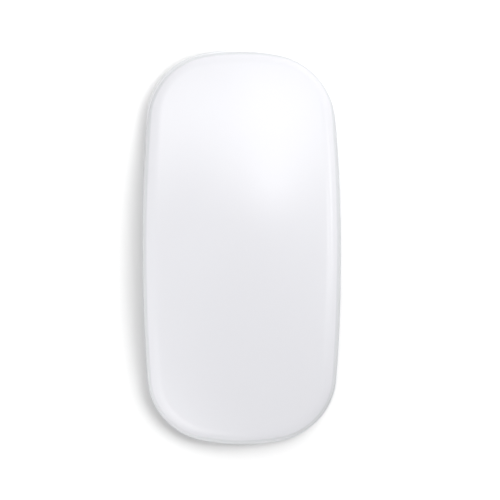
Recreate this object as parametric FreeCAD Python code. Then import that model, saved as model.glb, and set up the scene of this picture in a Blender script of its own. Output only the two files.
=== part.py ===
import FreeCAD, Part
import math
import os

V = FreeCAD.Vector

# Sizes in millimetres. X is to the right, Y towards the fingers, Z up; the desk is Z = 0.

# Outline seen from above: eight tangent arcs
LENGTH = 113.5
WIDTH = 57.1
SIDE_RADIUS = 555.0
FRONT_RADIUS = 64.0
FRONT_CORNER = 20.0
REAR_RADIUS = 60.5
REAR_CORNER = 19.4

# Arched crown, its heights over the tips and the sides, and the edge that rolls down from it
HEIGHT = 21.6
CROWN_TIP = 8.9
CROWN_SIDE = 17.0
CROWN_Y = -2.0
CROWN_SWING = 40.0
SHELL_EDGE_RADIUS = 6.0
SHELL_WALL = 1.6
SHELL_INSET = 0.3

# Seam between shell and base, an arc seen from the side
SEAM_MIDDLE = 9.5
SEAM_END = 5.0
SEAM_CLEARANCE = 0.3

# Base: a flat floor that turns up into the rim
BASE_LIFT = 0.5
BASE_WALL = 1.0
BASE_TURN_TOP = 5.0
TURN_ACROSS = 5.05
TURN_ALONG = 10.75
FLAT_CORNER_CUT = 4.0
TURN_STEPS = 6

# Runners in shallow grooves
RUNNER_FROM_EDGE = 3.1
RUNNER_END_ROOM = 12.0
RUNNER_WIDTH = 2.8
RUNNER_DEPTH = 0.3

# Clearances, and how far a cutting shape runs past what it cuts
PLAY = 0.1
SLOT_PLAY = 0.15
LOOSE = 0.3
FRAME_GAP = 0.6
PAST = 2.0

# Screws, two millimetres across the thread
SCREW_RADIUS = 1.0
SCREW_HEAD_RADIUS = 1.9
SCREW_HEAD_HEIGHT = 1.1
SCREW_LENGTH = 4.0
SCREW_HOLE_RADIUS = 1.15
SOCKET_RADIUS = 0.6
SOCKET_DEPTH = 0.6
BOSS_RADIUS = 2.2

# Main board
BOARD_STANDOFF = 1.7
BOARD_THICK = 1.0
BOARD_SIDE_ROOM = 0.8
BOARD_AHEAD_OF_SWITCH = 1.6
BOARD_BEHIND_PIVOT = 1.0
BOARD_CORNER = 5.0
BOARD_SCREW_FROM_EDGE = 3.0
BOARD_SCREW_ON_CROSSBAR = 4.0
BOARD_SCREW_FROM_PORT = 6.5

# Carrier frame: deck, tray walls, rim and ears
DECK_STANDOFF = 2.2
DECK_THICK = 1.0
DECK_BEHIND_PIVOT = 5.0
HOOK_ROOM = 1.6
RIM_WALL = 1.0
RIM_HEIGHT = 5.1
CROSSBAR_WIDTH = 4.5
WINDOW_ROOM = 2.6
TRAY_WALL = 1.0
TRAY_HEIGHT = 3.0
TRAY_WINDOW_MARGIN = 7.0
FRAME_SCREW_FROM_CROSSBAR = 4.0
FRAME_SCREW_FROM_REAR = 6.0

# Battery, which fills the room between the screws, the port, the sensor and the crown
BATTERY_SIDE_ROOM = 10.55
BATTERY_FROM_PORT = 6.5
BATTERY_HEADROOM = 0.5
BATTERY_EDGE = 1.0
PAD_THICK = 0.5
PAD_MARGIN = 2.0
PROTECTION_WIDTH = 26.0
PROTECTION_THICK = 1.2
PROTECTION_HEIGHT = 3.0
PROTECTION_RISE = 0.8
TAB_WIDTH = 5.0
TAB_THICK = 0.3
TAB_X = 0.5
TAB_REACH = 2.9
BATTERY_PLUG_WIDTH = 7.0
BATTERY_PLUG_DEPTH = 4.0
BATTERY_PLUG_HEIGHT = 1.7

# Hinge at the rear, and how far the shell goes down over the switch
CLICK_TRAVEL = 0.35
PIVOT_FROM_TIP = 13.75
PIVOT_Z = 8.8
PIN_RADIUS = 0.7
PIN_PLAY = 0.05
KNUCKLE_RADIUS = 1.5
KNUCKLE_WIDTH = 3.4
KNUCKLE_X = 9.0
EAR_WIDTH = 1.8
EAR_PLAY = 0.2

# Brackets bonded under the shell
BRACKET_WALL = 1.2
BRACKET_LOW = 8.8
BRACKET_SIDE_ROOM = 6.55
FRONT_BRACKET_AHEAD = 7.0
REAR_BRACKET_AHEAD = 3.5
REAR_BRACKET_BEHIND = 7.0
REAR_BRACKET_WIDTH = 34.0
HOOK_X = 10.5
HOOK_WIDTH = 3.0
HOOK_THICK = 1.2
HOOK_TOE = 1.2
HOOK_TOE_HEIGHT = 0.7

# Leaf springs between the crossbar and the front bracket
LEAF_THICK = 0.15
LEAF_WIDTH = 3.0
LEAF_X = 11.5
LEAF_FOOT = 2.2
LEAF_RUN = 3.4
LEAF_TIP = 1.8
LEAF_HEIGHT = 2.6

# Click switch
SWITCH_FROM_TIP = 13.75
SWITCH_WIDTH = 12.8
SWITCH_DEPTH = 5.8
SWITCH_HEIGHT = 4.6
PLUNGER_WIDTH = 3.0
PLUNGER_DEPTH = 1.6
PLUNGER_RISE = 0.7
PLUNGER_SUNK = 0.6
PLUNGER_WELL = 1.2
ACTUATOR_GAP = 0.05
ACTUATOR_WIDTH = 5.0
ACTUATOR_DEPTH = 4.0
TERMINAL_PITCH = 5.08
TERMINAL_WIDTH = 0.9
TERMINAL_THICK = 0.5
TERMINAL_DROP = 0.8

# Touch film, its flat cable and connector
FILM_THICK = 0.3
FILM_FROM_BRACKET = 1.0
FLEX_X = -8.0
FLEX_FROM_EDGE = 1.6
FLEX_WIDTH = 8.0
FLEX_THICK = 0.15
FLEX_FOOT = 0.9
FLEX_PLUG_WIDTH = 10.0
FLEX_PLUG_DEPTH = 3.0
FLEX_PLUG_HEIGHT = 1.2

# Optical sensor
SENSOR_X = 9.0
SENSOR_FROM_CROSSBAR = 1.0
SENSOR_FROM_TRAY = 0.9
SENSOR_WIDTH = 9.9
SENSOR_DEPTH = 9.0
SENSOR_HEIGHT = 2.6
LENS_WIDTH = 12.0
LENS_DEPTH = 9.4
NECK_WIDTH = 6.0
NECK_DEPTH = 4.0
WINDOW_WIDTH = 8.0
WINDOW_DEPTH = 5.6
WINDOW_CORNER = 2.0
WINDOW_FLANGE = 0.8
WINDOW_FLANGE_THICK = 0.2

# Power slide switch
POWER_X = -9.0
POWER_BEHIND_SENSOR = 1.5
POWER_TRAVEL = 3.0
KNOB_WIDTH = 4.4
KNOB_LENGTH = 4.4
KNOB_THICK = 0.8
KNOB_CORNER = 1.0
KNOB_GROOVES = 3
KNOB_GROOVE_PITCH = 1.1
KNOB_GROOVE_WIDTH = 0.4
KNOB_GROOVE_DEPTH = 0.25
KNOB_GAP = 0.25
STEM = 1.2
STEM_LENGTH = 1.2
POWER_BODY_WIDTH = 6.2
POWER_BODY_LENGTH = 10.0
POWER_BODY_HEIGHT = 1.4
POWER_SLOT_DEPTH = 1.0
MARK_THICK = 0.2

# Status light
LED_FROM_SWITCH = 4.0
LED_WIDTH = 1.6
LED_DEPTH = 0.8
LED_HEIGHT = 0.6
PIPE_RADIUS = 0.6
PIPE_FLANGE_RADIUS = 1.1
PIPE_FLANGE_HEIGHT = 0.8

# Charging port in the underside
PORT_FROM_PIVOT = 6.5
PORT_WIDTH = 8.94
PORT_HEIGHT = 3.16
PORT_WALL = 0.3
PORT_DEPTH = 6.4
PORT_SUNK = 0.2
PORT_FLANGE = 1.0
PORT_FLANGE_THICK = 0.4
TONGUE_WIDTH = 6.7
TONGUE_THICK = 0.7
TONGUE_LENGTH = 4.6
BEZEL_RING = 1.0
BEZEL_FLANGE = 0.7
BEZEL_FLANGE_THICK = 0.6

# Parts on the board: place, size and height
CHIP_SIZES = ((-9.0, 8.0, 7.0, 7.0), (-10.0, -6.0, 5.0, 6.0), (1.0, -22.0, 6.0, 5.0), (10.0, 12.0, 4.0, 4.0))
CHIP_HEIGHT = 0.9
SHIELD_X = 5.0
SHIELD_Y = -5.0
SHIELD_WIDTH = 14.0
SHIELD_DEPTH = 12.0
SHIELD_HEIGHT = 1.7
SHIELD_WALL = 0.2
ANTENNA_FROM_EDGES = 2.0
ANTENNA_WIDTH = 7.0
ANTENNA_DEPTH = 2.0
ANTENNA_HEIGHT = 0.9

# Levels, from the desk up
FLOOR = BASE_LIFT + BASE_WALL
BOARD_BOTTOM = FLOOR + BOARD_STANDOFF
BOARD_TOP = BOARD_BOTTOM + BOARD_THICK
DECK_BOTTOM = BOARD_TOP + DECK_STANDOFF
DECK_TOP = DECK_BOTTOM + DECK_THICK
BATTERY_BOTTOM = DECK_TOP + PAD_THICK
SWITCH_TOP = BOARD_TOP + SWITCH_HEIGHT
PLUNGER_TOP = SWITCH_TOP + PLUNGER_RISE
LEAF_TOP = DECK_TOP + LEAF_HEIGHT
POWER_BODY_BOTTOM = BOARD_BOTTOM - POWER_BODY_HEIGHT
ABOVE_ALL = HEIGHT + PAST

# Places along the mouse, from the front tip back to the tray's front wall
SWITCH_Y = LENGTH / 2 - SWITCH_FROM_TIP
BOARD_FRONT = SWITCH_Y + SWITCH_DEPTH / 2 + BOARD_AHEAD_OF_SWITCH
DECK_FRONT = SWITCH_Y - SWITCH_DEPTH / 2 - HOOK_ROOM
CROSSBAR_REAR = DECK_FRONT - CROSSBAR_WIDTH
FILM_FRONT = CROSSBAR_REAR - FILM_FROM_BRACKET
FLEX_Y = FILM_FRONT - FLEX_FROM_EDGE
SENSOR_Y = CROSSBAR_REAR - SENSOR_FROM_CROSSBAR - SENSOR_DEPTH / 2
POWER_Y = SENSOR_Y - POWER_BEHIND_SENSOR
LED_Y = POWER_Y + POWER_BODY_LENGTH / 2 + LED_FROM_SWITCH
TRAY_FRONT = SENSOR_Y - SENSOR_DEPTH / 2 - SENSOR_FROM_TRAY - TRAY_WALL - LOOSE
BATTERY_FRONT = TRAY_FRONT - PROTECTION_THICK

# Places along the mouse, from the rear tip forward
PIVOT_Y = PIVOT_FROM_TIP - LENGTH / 2
BOARD_REAR = PIVOT_Y - BOARD_BEHIND_PIVOT
DECK_REAR = PIVOT_Y - DECK_BEHIND_PIVOT
REAR_BRACKET_FRONT = PIVOT_Y + REAR_BRACKET_AHEAD
FILM_REAR = REAR_BRACKET_FRONT + FILM_FROM_BRACKET
PORT_Y = PIVOT_Y + PORT_FROM_PIVOT
BATTERY_REAR = PORT_Y + BATTERY_FROM_PORT
BATTERY_LENGTH = BATTERY_FRONT - BATTERY_REAR
BOARD_SCREW_FRONT = CROSSBAR_REAR + BOARD_SCREW_ON_CROSSBAR
BOARD_SCREW_REAR = PORT_Y + BOARD_SCREW_FROM_PORT
FRAME_SCREW_FRONT = CROSSBAR_REAR - FRAME_SCREW_FROM_CROSSBAR
FRAME_SCREW_REAR = BATTERY_REAR + FRAME_SCREW_FROM_REAR

# Places across the mouse
FLAT_WIDTH = WIDTH - 2 * TURN_ACROSS
FLAT_LENGTH = LENGTH - 2 * TURN_ALONG
RUNNER_X = FLAT_WIDTH / 2 - RUNNER_FROM_EDGE
RUNNER_LENGTH = FLAT_LENGTH - 2 * RUNNER_END_ROOM
BATTERY_WIDTH = WIDTH - 2 * BATTERY_SIDE_ROOM
TRAY_SIDE = BATTERY_WIDTH / 2 + LOOSE
FRAME_SCREW_X = TRAY_SIDE + TRAY_WALL + SCREW_HEAD_RADIUS + LOOSE
BOARD_WIDTH = 2 * (FRAME_SCREW_X - BOSS_RADIUS - BOARD_SIDE_ROOM)
BOARD_SCREW_X = BOARD_WIDTH / 2 - BOARD_SCREW_FROM_EDGE
FRONT_WINDOW_SIDE = FRAME_SCREW_X - SCREW_HEAD_RADIUS - WINDOW_ROOM
BRACKET_SIDE = WIDTH / 2 - BRACKET_SIDE_ROOM
LED_X = POWER_X
ANTENNA_X = ANTENNA_FROM_EDGES + ANTENNA_WIDTH / 2 - BOARD_WIDTH / 2
ANTENNA_Y = BOARD_FRONT - ANTENNA_FROM_EDGES - ANTENNA_DEPTH / 2


def arc_radius(half, rise):
    """Radius of the arc that rises this far over this half span."""
    return (half ** 2 + rise ** 2) / (2 * rise)


CROWN_LONG_RADIUS = arc_radius(LENGTH / 2, HEIGHT - CROWN_TIP)
CROWN_CROSS_RADIUS = arc_radius(WIDTH / 2, HEIGHT - CROWN_SIDE)


def crown_height(x, y, depth):
    """Height of the crown's surface, sunk by depth, over one place."""
    cross = CROWN_CROSS_RADIUS - depth
    long = CROWN_LONG_RADIUS - depth - cross + math.sqrt(cross ** 2 - x ** 2)
    return HEIGHT - CROWN_LONG_RADIUS + math.sqrt(long ** 2 - (y - CROWN_Y) ** 2)


def battery_thick():
    """Thickness that leaves the headroom under the film over the cell's lowest corner."""
    depth = SHELL_WALL + FILM_THICK + BATTERY_HEADROOM
    corners = [crown_height(BATTERY_WIDTH / 2, y, depth) for y in (BATTERY_REAR, BATTERY_FRONT)]
    return min(corners) - BATTERY_BOTTOM


def box(x, y, z, width, depth, height, corner=0.0):
    """Block centred on x and y and standing on z, its upright edges rounded if a corner is given."""
    block = Part.makeBox(width, depth, height, V(x - width / 2, y - depth / 2, z))
    if corner > 0:
        upright = [edge for edge in block.Edges if abs(edge.tangentAt(edge.FirstParameter).z) > 0.9]
        block = block.makeFillet(corner, upright)
    return block


def span(x0, x1, y0, y1, z0, z1):
    """Block between two opposite corners."""
    return Part.makeBox(x1 - x0, y1 - y0, z1 - z0, V(x0, y0, z0))


def rod(x, y, z, radius, height):
    """Upright cylinder standing on z."""
    return Part.makeCylinder(radius, height, V(x, y, z))


def pill(x, y, z, width, depth, height):
    """Upright bar with fully round ends along its longer way."""
    radius = min(width, depth) / 2
    reach = max(width, depth) / 2 - radius
    places = [(reach, -radius), (reach + radius, 0), (reach, radius)]
    places += [(-along, -across) for along, across in places]
    if depth > width:
        places = [(-across, along) for along, across in places]
    points = [V(x + right, y + front, z) for right, front in places]
    wire = Part.Wire([
        Part.Arc(*points[:3]).toShape(),
        Part.makeLine(points[2], points[3]),
        Part.Arc(*points[3:]).toShape(),
        Part.makeLine(points[5], points[0]),
    ])
    return Part.Face(wire).extrude(V(0, 0, height))


def crossbar_rod(x, y, z, radius, length):
    """Cylinder lying along X and centred on x."""
    return Part.makeCylinder(radius, length, V(x - length / 2, y, z), V(1, 0, 0))


def mirrored(shape):
    """The same piece on the other side of the middle plane."""
    return shape.mirror(V(0, 0, 0), V(1, 0, 0))


def group(shapes):
    """Separate solids kept together in one node."""
    return Part.makeCompound(shapes)


def meet(left, left_reach, right, right_reach, way):
    """Point at the two given distances from a left and a right centre; way is 1 in front, -1 behind."""
    between = right - left
    distance = between.Length
    along = (left_reach ** 2 - right_reach ** 2 + distance ** 2) / (2 * distance)
    across = math.sqrt(left_reach ** 2 - along ** 2)
    ahead = V(-between.y, between.x, 0) * (across / distance)
    return left + between * (along / distance) + ahead * way


def unit(vector):
    """The vector's direction."""
    return vector * (1 / vector.Length)


def corner_points(half_width, half_length, cut, z, way, end_size, corner_size):
    """Where one right-hand corner arc starts, its middle and its end; way is 1 in front, -1 behind."""
    side_radius = SIDE_RADIUS - cut
    end_radius = end_size - cut
    corner_radius = corner_size - cut
    side = V(half_width - side_radius, 0, z)
    end = V(0, way * (half_length - end_radius), z)
    centre = meet(side, side_radius - corner_radius, end, end_radius - corner_radius, way)
    from_side = unit(centre - side)
    from_end = unit(centre - end)
    middle = centre + unit(from_side + from_end) * corner_radius
    return side + from_side * side_radius, middle, end + from_end * end_radius


def outline(half_width, half_length, cut, z):
    """Closed outline of eight tangent arcs at height z, every radius smaller by cut."""
    front = corner_points(half_width, half_length, cut, z, 1, FRONT_RADIUS, FRONT_CORNER)
    rear = corner_points(half_width, half_length, cut, z, -1, REAR_RADIUS, REAR_CORNER)
    left_front = [V(-point.x, point.y, z) for point in front]
    left_rear = [V(-point.x, point.y, z) for point in rear]
    arcs = (
        (rear[0], V(half_width, 0, z), front[0]),
        front,
        (front[2], V(0, half_length, z), left_front[2]),
        (left_front[2], left_front[1], left_front[0]),
        (left_front[0], V(-half_width, 0, z), left_rear[0]),
        left_rear,
        (left_rear[2], V(0, -half_length, z), rear[2]),
        (rear[2], rear[1], rear[0]),
    )
    return Part.Wire([Part.Arc(*points).toShape() for points in arcs])


def prism(inset, bottom, top):
    """Upright body whose outline lies this far inside the outer one."""
    wire = outline(WIDTH / 2 - inset, LENGTH / 2 - inset, inset, bottom)
    return Part.Face(wire).extrude(V(0, 0, top - bottom))


def crown(depth):
    """Solid below the arched crown, sunk by depth: a cross arc turned about a far axis."""
    radius = CROWN_CROSS_RADIUS - depth
    reach = WIDTH / 2 + PAST
    edge = HEIGHT - CROWN_CROSS_RADIUS + math.sqrt(radius ** 2 - reach ** 2)
    bottom = -HEIGHT
    arc = Part.Arc(V(-reach, 0, edge), V(0, 0, HEIGHT - depth), V(reach, 0, edge)).toShape()
    corners = [V(reach, 0, edge), V(reach, 0, bottom), V(-reach, 0, bottom), V(-reach, 0, edge)]
    face = Part.Face(Part.Wire([arc] + Part.makePolygon(corners).Edges))
    axis = V(0, 0, HEIGHT - CROWN_LONG_RADIUS)
    face.rotate(axis, V(1, 0, 0), -CROWN_SWING)
    solid = face.revolve(axis, V(1, 0, 0), 2 * CROWN_SWING)
    solid.translate(V(0, CROWN_Y, 0))
    return solid


def shell_space(depth):
    """Solid inside the shell's outer surface, this deep under it all over."""
    body = prism(SHELL_INSET + depth, -PAST, ABOVE_ALL).common(crown(depth))
    edges = [edge for edge in body.Edges if edge.BoundBox.ZMin > 0]
    return body.makeFillet(SHELL_EDGE_RADIUS - depth, edges)


def inner_space(depth):
    """Solid inside the shell's inner surface, this deep under it."""
    return shell_space(SHELL_WALL + depth)


def below_seam(lift):
    """Block below the arched seam, which is raised by lift."""
    half = LENGTH / 2
    reach = half + PAST
    radius = arc_radius(half, SEAM_MIDDLE - SEAM_END)
    edge = SEAM_MIDDLE + lift - radius + math.sqrt(radius ** 2 - reach ** 2)
    x = -WIDTH
    low = -HEIGHT
    arc = Part.Arc(V(x, -reach, edge), V(x, 0, SEAM_MIDDLE + lift), V(x, reach, edge)).toShape()
    corners = [V(x, reach, edge), V(x, reach, low), V(x, -reach, low), V(x, -reach, edge)]
    face = Part.Face(Part.Wire([arc] + Part.makePolygon(corners).Edges))
    return face.extrude(V(2 * WIDTH, 0, 0))


def hull(wall):
    """Solid inside the base's outer surface, or inside a wall of this thickness."""
    sections = []
    for step in range(TURN_STEPS + 1):
        angle = math.radians(90.0 * step / TURN_STEPS)
        out = math.sin(angle)
        half_width = FLAT_WIDTH / 2 + (WIDTH / 2 - FLAT_WIDTH / 2 - wall) * out
        half_length = FLAT_LENGTH / 2 + (LENGTH / 2 - FLAT_LENGTH / 2 - wall) * out
        cut = FLAT_CORNER_CUT * (1 - out) + wall * out
        z = BASE_TURN_TOP - (BASE_TURN_TOP - BASE_LIFT - wall) * math.cos(angle)
        sections.append(outline(half_width, half_length, cut, z))
    bowl = Part.makeLoft(sections, True, False)
    rim = Part.Face(sections[-1]).extrude(V(0, 0, HEIGHT))
    return bowl.fuse(rim)


def board_screw_places():
    return [(side * BOARD_SCREW_X, y) for side in (-1, 1) for y in (BOARD_SCREW_REAR, BOARD_SCREW_FRONT)]


def frame_screw_places():
    return [(side * FRAME_SCREW_X, y) for side in (-1, 1) for y in (FRAME_SCREW_REAR, FRAME_SCREW_FRONT)]


def knob_opening():
    """Length and width of the opening in which the power knob slides."""
    return KNOB_WIDTH + 2 * KNOB_GAP, KNOB_LENGTH + POWER_TRAVEL + 2 * KNOB_GAP


def stem_slot(bottom, height):
    """Slot that guides the knob's stem."""
    width = STEM + 2 * SLOT_PLAY
    return box(POWER_X, POWER_Y, bottom, width, width + POWER_TRAVEL, height)


def runner_bar(bottom, height, play):
    """Plan shape of the right runner."""
    return pill(RUNNER_X, 0, bottom, RUNNER_WIDTH + 2 * play, RUNNER_LENGTH + 2 * play, height)


def top_shell():
    """Glossy one-piece shell; when it is clicked down, its edge still clears the base evenly."""
    pressed_edge = below_seam(SEAM_CLEARANCE)
    click_angle = math.degrees(CLICK_TRAVEL / (SWITCH_Y - PIVOT_Y))
    pressed_edge.rotate(V(0, PIVOT_Y, PIVOT_Z), V(1, 0, 0), click_angle)
    return shell_space(0).cut(inner_space(0)).cut(pressed_edge)


def base_shell():
    """Metal underside with its floor, rim, screw bosses, grooves and openings."""
    inside = hull(BASE_WALL)
    shape = hull(0).common(below_seam(0)).cut(inside)
    bosses = [(x, y, BOARD_BOTTOM) for x, y in board_screw_places()]
    bosses += [(x, y, DECK_BOTTOM) for x, y in frame_screw_places()]
    for x, y, top in bosses:
        boss = rod(x, y, BASE_LIFT + BASE_WALL / 2, BOSS_RADIUS, top - BASE_LIFT - BASE_WALL / 2)
        shape = shape.fuse(boss.common(hull(BASE_WALL / 2)))
    for x, y in board_screw_places():
        shape = shape.cut(rod(x, y, FLOOR, SCREW_RADIUS, BOARD_STANDOFF))
    for x, y in frame_screw_places():
        shape = shape.cut(rod(x, y, DECK_TOP - SCREW_LENGTH, SCREW_RADIUS, SCREW_LENGTH))
    groove = runner_bar(0, BASE_LIFT + RUNNER_DEPTH, PLAY)
    through = BASE_WALL + BASE_LIFT
    width, length = knob_opening()
    openings = [groove, mirrored(groove)]
    openings.append(box(POWER_X, POWER_Y, 0, width, length, through, KNOB_CORNER + KNOB_GAP))
    openings.append(box(SENSOR_X, SENSOR_Y, 0, WINDOW_WIDTH + 2 * PLAY, WINDOW_DEPTH + 2 * PLAY, through,
                        WINDOW_CORNER + PLAY))
    openings.append(rod(LED_X, LED_Y, 0, PIPE_RADIUS + PLAY, through))
    ring = 2 * (BEZEL_RING + PLAY)
    openings.append(pill(0, PORT_Y, 0, PORT_WIDTH + ring, PORT_HEIGHT + ring, through))
    for opening in openings:
        shape = shape.cut(opening)
    return shape


def right_runner():
    return runner_bar(0, BASE_LIFT + RUNNER_DEPTH, 0)


def inner_frame():
    """Carrier with a deck for the battery, tray walls, a rim, hinge ears and the stop bar."""
    trim = inner_space(FRAME_GAP)
    inset = SHELL_INSET + SHELL_WALL
    limits = span(-WIDTH, WIDTH, DECK_REAR, DECK_FRONT, 0, ABOVE_ALL)
    shape = prism(inset, DECK_BOTTOM, DECK_TOP)
    inside_rim = prism(inset + FRAME_GAP + RIM_WALL, 0, ABOVE_ALL)
    rim = prism(inset, DECK_BOTTOM, DECK_BOTTOM + RIM_HEIGHT).cut(inside_rim)
    tray_rear = BATTERY_REAR - LOOSE
    tray_front = TRAY_FRONT + LOOSE
    wall_front = tray_front + TRAY_WALL
    wall_side = TRAY_SIDE + TRAY_WALL
    tray_top = DECK_TOP + TRAY_HEIGHT
    walls = span(-wall_side, wall_side, tray_rear - TRAY_WALL, wall_front, DECK_BOTTOM, tray_top)
    tray = span(-TRAY_SIDE, TRAY_SIDE, tray_rear, tray_front, DECK_TOP, tray_top)
    shape = shape.fuse(rim).fuse(walls.cut(tray))
    margin = TRAY_WINDOW_MARGIN
    windows = [span(-BATTERY_WIDTH / 2 + margin, BATTERY_WIDTH / 2 - margin, BATTERY_REAR + margin,
                    BATTERY_FRONT - margin, 0, ABOVE_ALL)]
    windows.append(span(-FRONT_WINDOW_SIDE, FRONT_WINDOW_SIDE, wall_front, CROSSBAR_REAR, 0, ABOVE_ALL))
    port_width = PORT_WIDTH + 2 * (PORT_FLANGE + LOOSE)
    port_depth = PORT_HEIGHT + 2 * (PORT_FLANGE + LOOSE)
    windows.append(box(0, PORT_Y, 0, port_width, port_depth, ABOVE_ALL))
    notch = TAB_WIDTH + 2 * LOOSE
    windows.append(span(TAB_X - notch / 2, TAB_X + notch / 2, TRAY_FRONT, wall_front, 0, ABOVE_ALL))
    for window in windows:
        shape = shape.cut(window)
    for side in (-1, 1):
        for way in (-1, 1):
            x = side * KNUCKLE_X + way * (KNUCKLE_WIDTH / 2 + EAR_PLAY + EAR_WIDTH / 2)
            rise = PIVOT_Z - DECK_BOTTOM
            shape = shape.fuse(box(x, PIVOT_Y, DECK_BOTTOM, EAR_WIDTH, 2 * KNUCKLE_RADIUS, rise))
            shape = shape.fuse(crossbar_rod(x, PIVOT_Y, PIVOT_Z, KNUCKLE_RADIUS, EAR_WIDTH))
        slot_width = KNUCKLE_WIDTH + 2 * EAR_PLAY
        slot_depth = 2 * (KNUCKLE_RADIUS + LOOSE)
        shape = shape.cut(box(side * KNUCKLE_X, PIVOT_Y, 0, slot_width, slot_depth, ABOVE_ALL))
        shape = shape.cut(hinge_pin(side))
    for x, y in frame_screw_places():
        shape = shape.cut(rod(x, y, 0, SCREW_HOLE_RADIUS, ABOVE_ALL))
    return shape.common(limits).common(trim)


def hinge_pin(side):
    """Steel pin pressed into a pair of ears."""
    length = KNUCKLE_WIDTH + 2 * (EAR_PLAY + EAR_WIDTH)
    return crossbar_rod(side * KNUCKLE_X, PIVOT_Y, PIVOT_Z, PIN_RADIUS, length)


def hinge_pins():
    return group([hinge_pin(-1), hinge_pin(1)])


def bracket_plate(side, rear, front):
    """Curved plate bonded under the shell."""
    area = span(-side, side, rear, front, BRACKET_LOW, ABOVE_ALL)
    return inner_space(0).common(area).cut(inner_space(BRACKET_WALL))


def front_bracket():
    """Plate with the actuator boss, two hooks under the stop bar and two spring pads."""
    top = inner_space(0)
    shape = bracket_plate(BRACKET_SIDE, CROSSBAR_REAR, SWITCH_Y + FRONT_BRACKET_AHEAD)
    bottom = PLUNGER_TOP + ACTUATOR_GAP
    parts = [box(0, SWITCH_Y, bottom, ACTUATOR_WIDTH, ACTUATOR_DEPTH, ABOVE_ALL)]
    toe_top = DECK_BOTTOM - PLAY
    toe_bottom = toe_top - HOOK_TOE_HEIGHT
    arm_rear = DECK_FRONT + LOOSE
    leaf_y = CROSSBAR_REAR + CROSSBAR_WIDTH / 2
    tip_x = LEAF_X + LEAF_FOOT + LEAF_RUN + LEAF_TIP / 2
    for side in (-1, 1):
        left = side * HOOK_X - HOOK_WIDTH / 2
        right = side * HOOK_X + HOOK_WIDTH / 2
        parts.append(span(left, right, arm_rear, arm_rear + HOOK_THICK, toe_bottom, ABOVE_ALL))
        parts.append(span(left, right, arm_rear - HOOK_TOE, arm_rear + HOOK_THICK, toe_bottom, toe_top))
        parts.append(box(side * tip_x, leaf_y, LEAF_TOP, LEAF_TIP + LOOSE, LEAF_WIDTH + LOOSE, ABOVE_ALL))
    for part in parts:
        shape = shape.fuse(part.common(top))
    return shape


def rear_bracket():
    """Plate with the two knuckles that turn on the pins."""
    top = inner_space(0)
    shape = bracket_plate(REAR_BRACKET_WIDTH / 2, PIVOT_Y - REAR_BRACKET_BEHIND, REAR_BRACKET_FRONT)
    for side in (-1, 1):
        x = side * KNUCKLE_X
        arm = box(x, PIVOT_Y, PIVOT_Z, KNUCKLE_WIDTH, 2 * KNUCKLE_RADIUS, ABOVE_ALL)
        shape = shape.fuse(arm.common(top))
        shape = shape.fuse(crossbar_rod(x, PIVOT_Y, PIVOT_Z, KNUCKLE_RADIUS, KNUCKLE_WIDTH))
        shape = shape.cut(crossbar_rod(x, PIVOT_Y, PIVOT_Z, PIN_RADIUS + PIN_PLAY, KNUCKLE_WIDTH + PAST))
    return shape


def leaf_spring():
    """Right leaf: a foot on the stop bar, a slope and a tip under the bracket's pad."""
    foot = DECK_TOP
    tip = LEAF_TOP - LEAF_THICK
    bend = LEAF_X + LEAF_FOOT
    crest = bend + LEAF_RUN
    end = crest + LEAF_TIP
    y = CROSSBAR_REAR + (CROSSBAR_WIDTH - LEAF_WIDTH) / 2
    points = [(LEAF_X, foot), (bend, foot), (crest, tip), (end, tip), (end, tip + LEAF_THICK),
              (crest, tip + LEAF_THICK), (bend, foot + LEAF_THICK), (LEAF_X, foot + LEAF_THICK)]
    corners = [V(x, y, z) for x, z in points]
    return Part.Face(Part.makePolygon(corners + corners[:1])).extrude(V(0, LEAF_WIDTH, 0))


def return_springs():
    return group([leaf_spring(), mirrored(leaf_spring())])


def screw(x, y, seat, length):
    """Screw whose head rests on the seat, with a round socket."""
    shape = rod(x, y, seat, SCREW_HEAD_RADIUS, SCREW_HEAD_HEIGHT)
    shape = shape.fuse(rod(x, y, seat - length, SCREW_RADIUS, length))
    return shape.cut(rod(x, y, seat + SCREW_HEAD_HEIGHT - SOCKET_DEPTH, SOCKET_RADIUS, SOCKET_DEPTH))


def board_screws():
    return group([screw(x, y, BOARD_TOP, BOARD_THICK + BOARD_STANDOFF) for x, y in board_screw_places()])


def frame_screws():
    return group([screw(x, y, DECK_TOP, SCREW_LENGTH) for x, y in frame_screw_places()])


def switch_terminal(place):
    return box(place * TERMINAL_PITCH, SWITCH_Y, BOARD_BOTTOM - TERMINAL_DROP, TERMINAL_WIDTH, TERMINAL_THICK,
               BOARD_THICK + TERMINAL_DROP)


def main_board():
    """Circuit board with holes for the screws, port, lens neck and switch terminals."""
    middle = (BOARD_FRONT + BOARD_REAR) / 2
    shape = box(0, middle, BOARD_BOTTOM, BOARD_WIDTH, BOARD_FRONT - BOARD_REAR, BOARD_THICK, BOARD_CORNER)
    for x, y in board_screw_places():
        shape = shape.cut(rod(x, y, BOARD_BOTTOM, SCREW_HOLE_RADIUS, BOARD_THICK))
    shape = shape.cut(pill(0, PORT_Y, BOARD_BOTTOM, PORT_WIDTH + 2 * SLOT_PLAY, PORT_HEIGHT + 2 * SLOT_PLAY,
                           BOARD_THICK))
    shape = shape.cut(box(SENSOR_X, SENSOR_Y, BOARD_BOTTOM, NECK_WIDTH + 2 * PLAY, NECK_DEPTH + 2 * PLAY,
                          BOARD_THICK))
    for place in (-1, 0, 1):
        shape = shape.cut(switch_terminal(place))
    return shape


def board_chips():
    return group([box(x, y, BOARD_TOP, width, depth, CHIP_HEIGHT) for x, y, width, depth in CHIP_SIZES])


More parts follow.
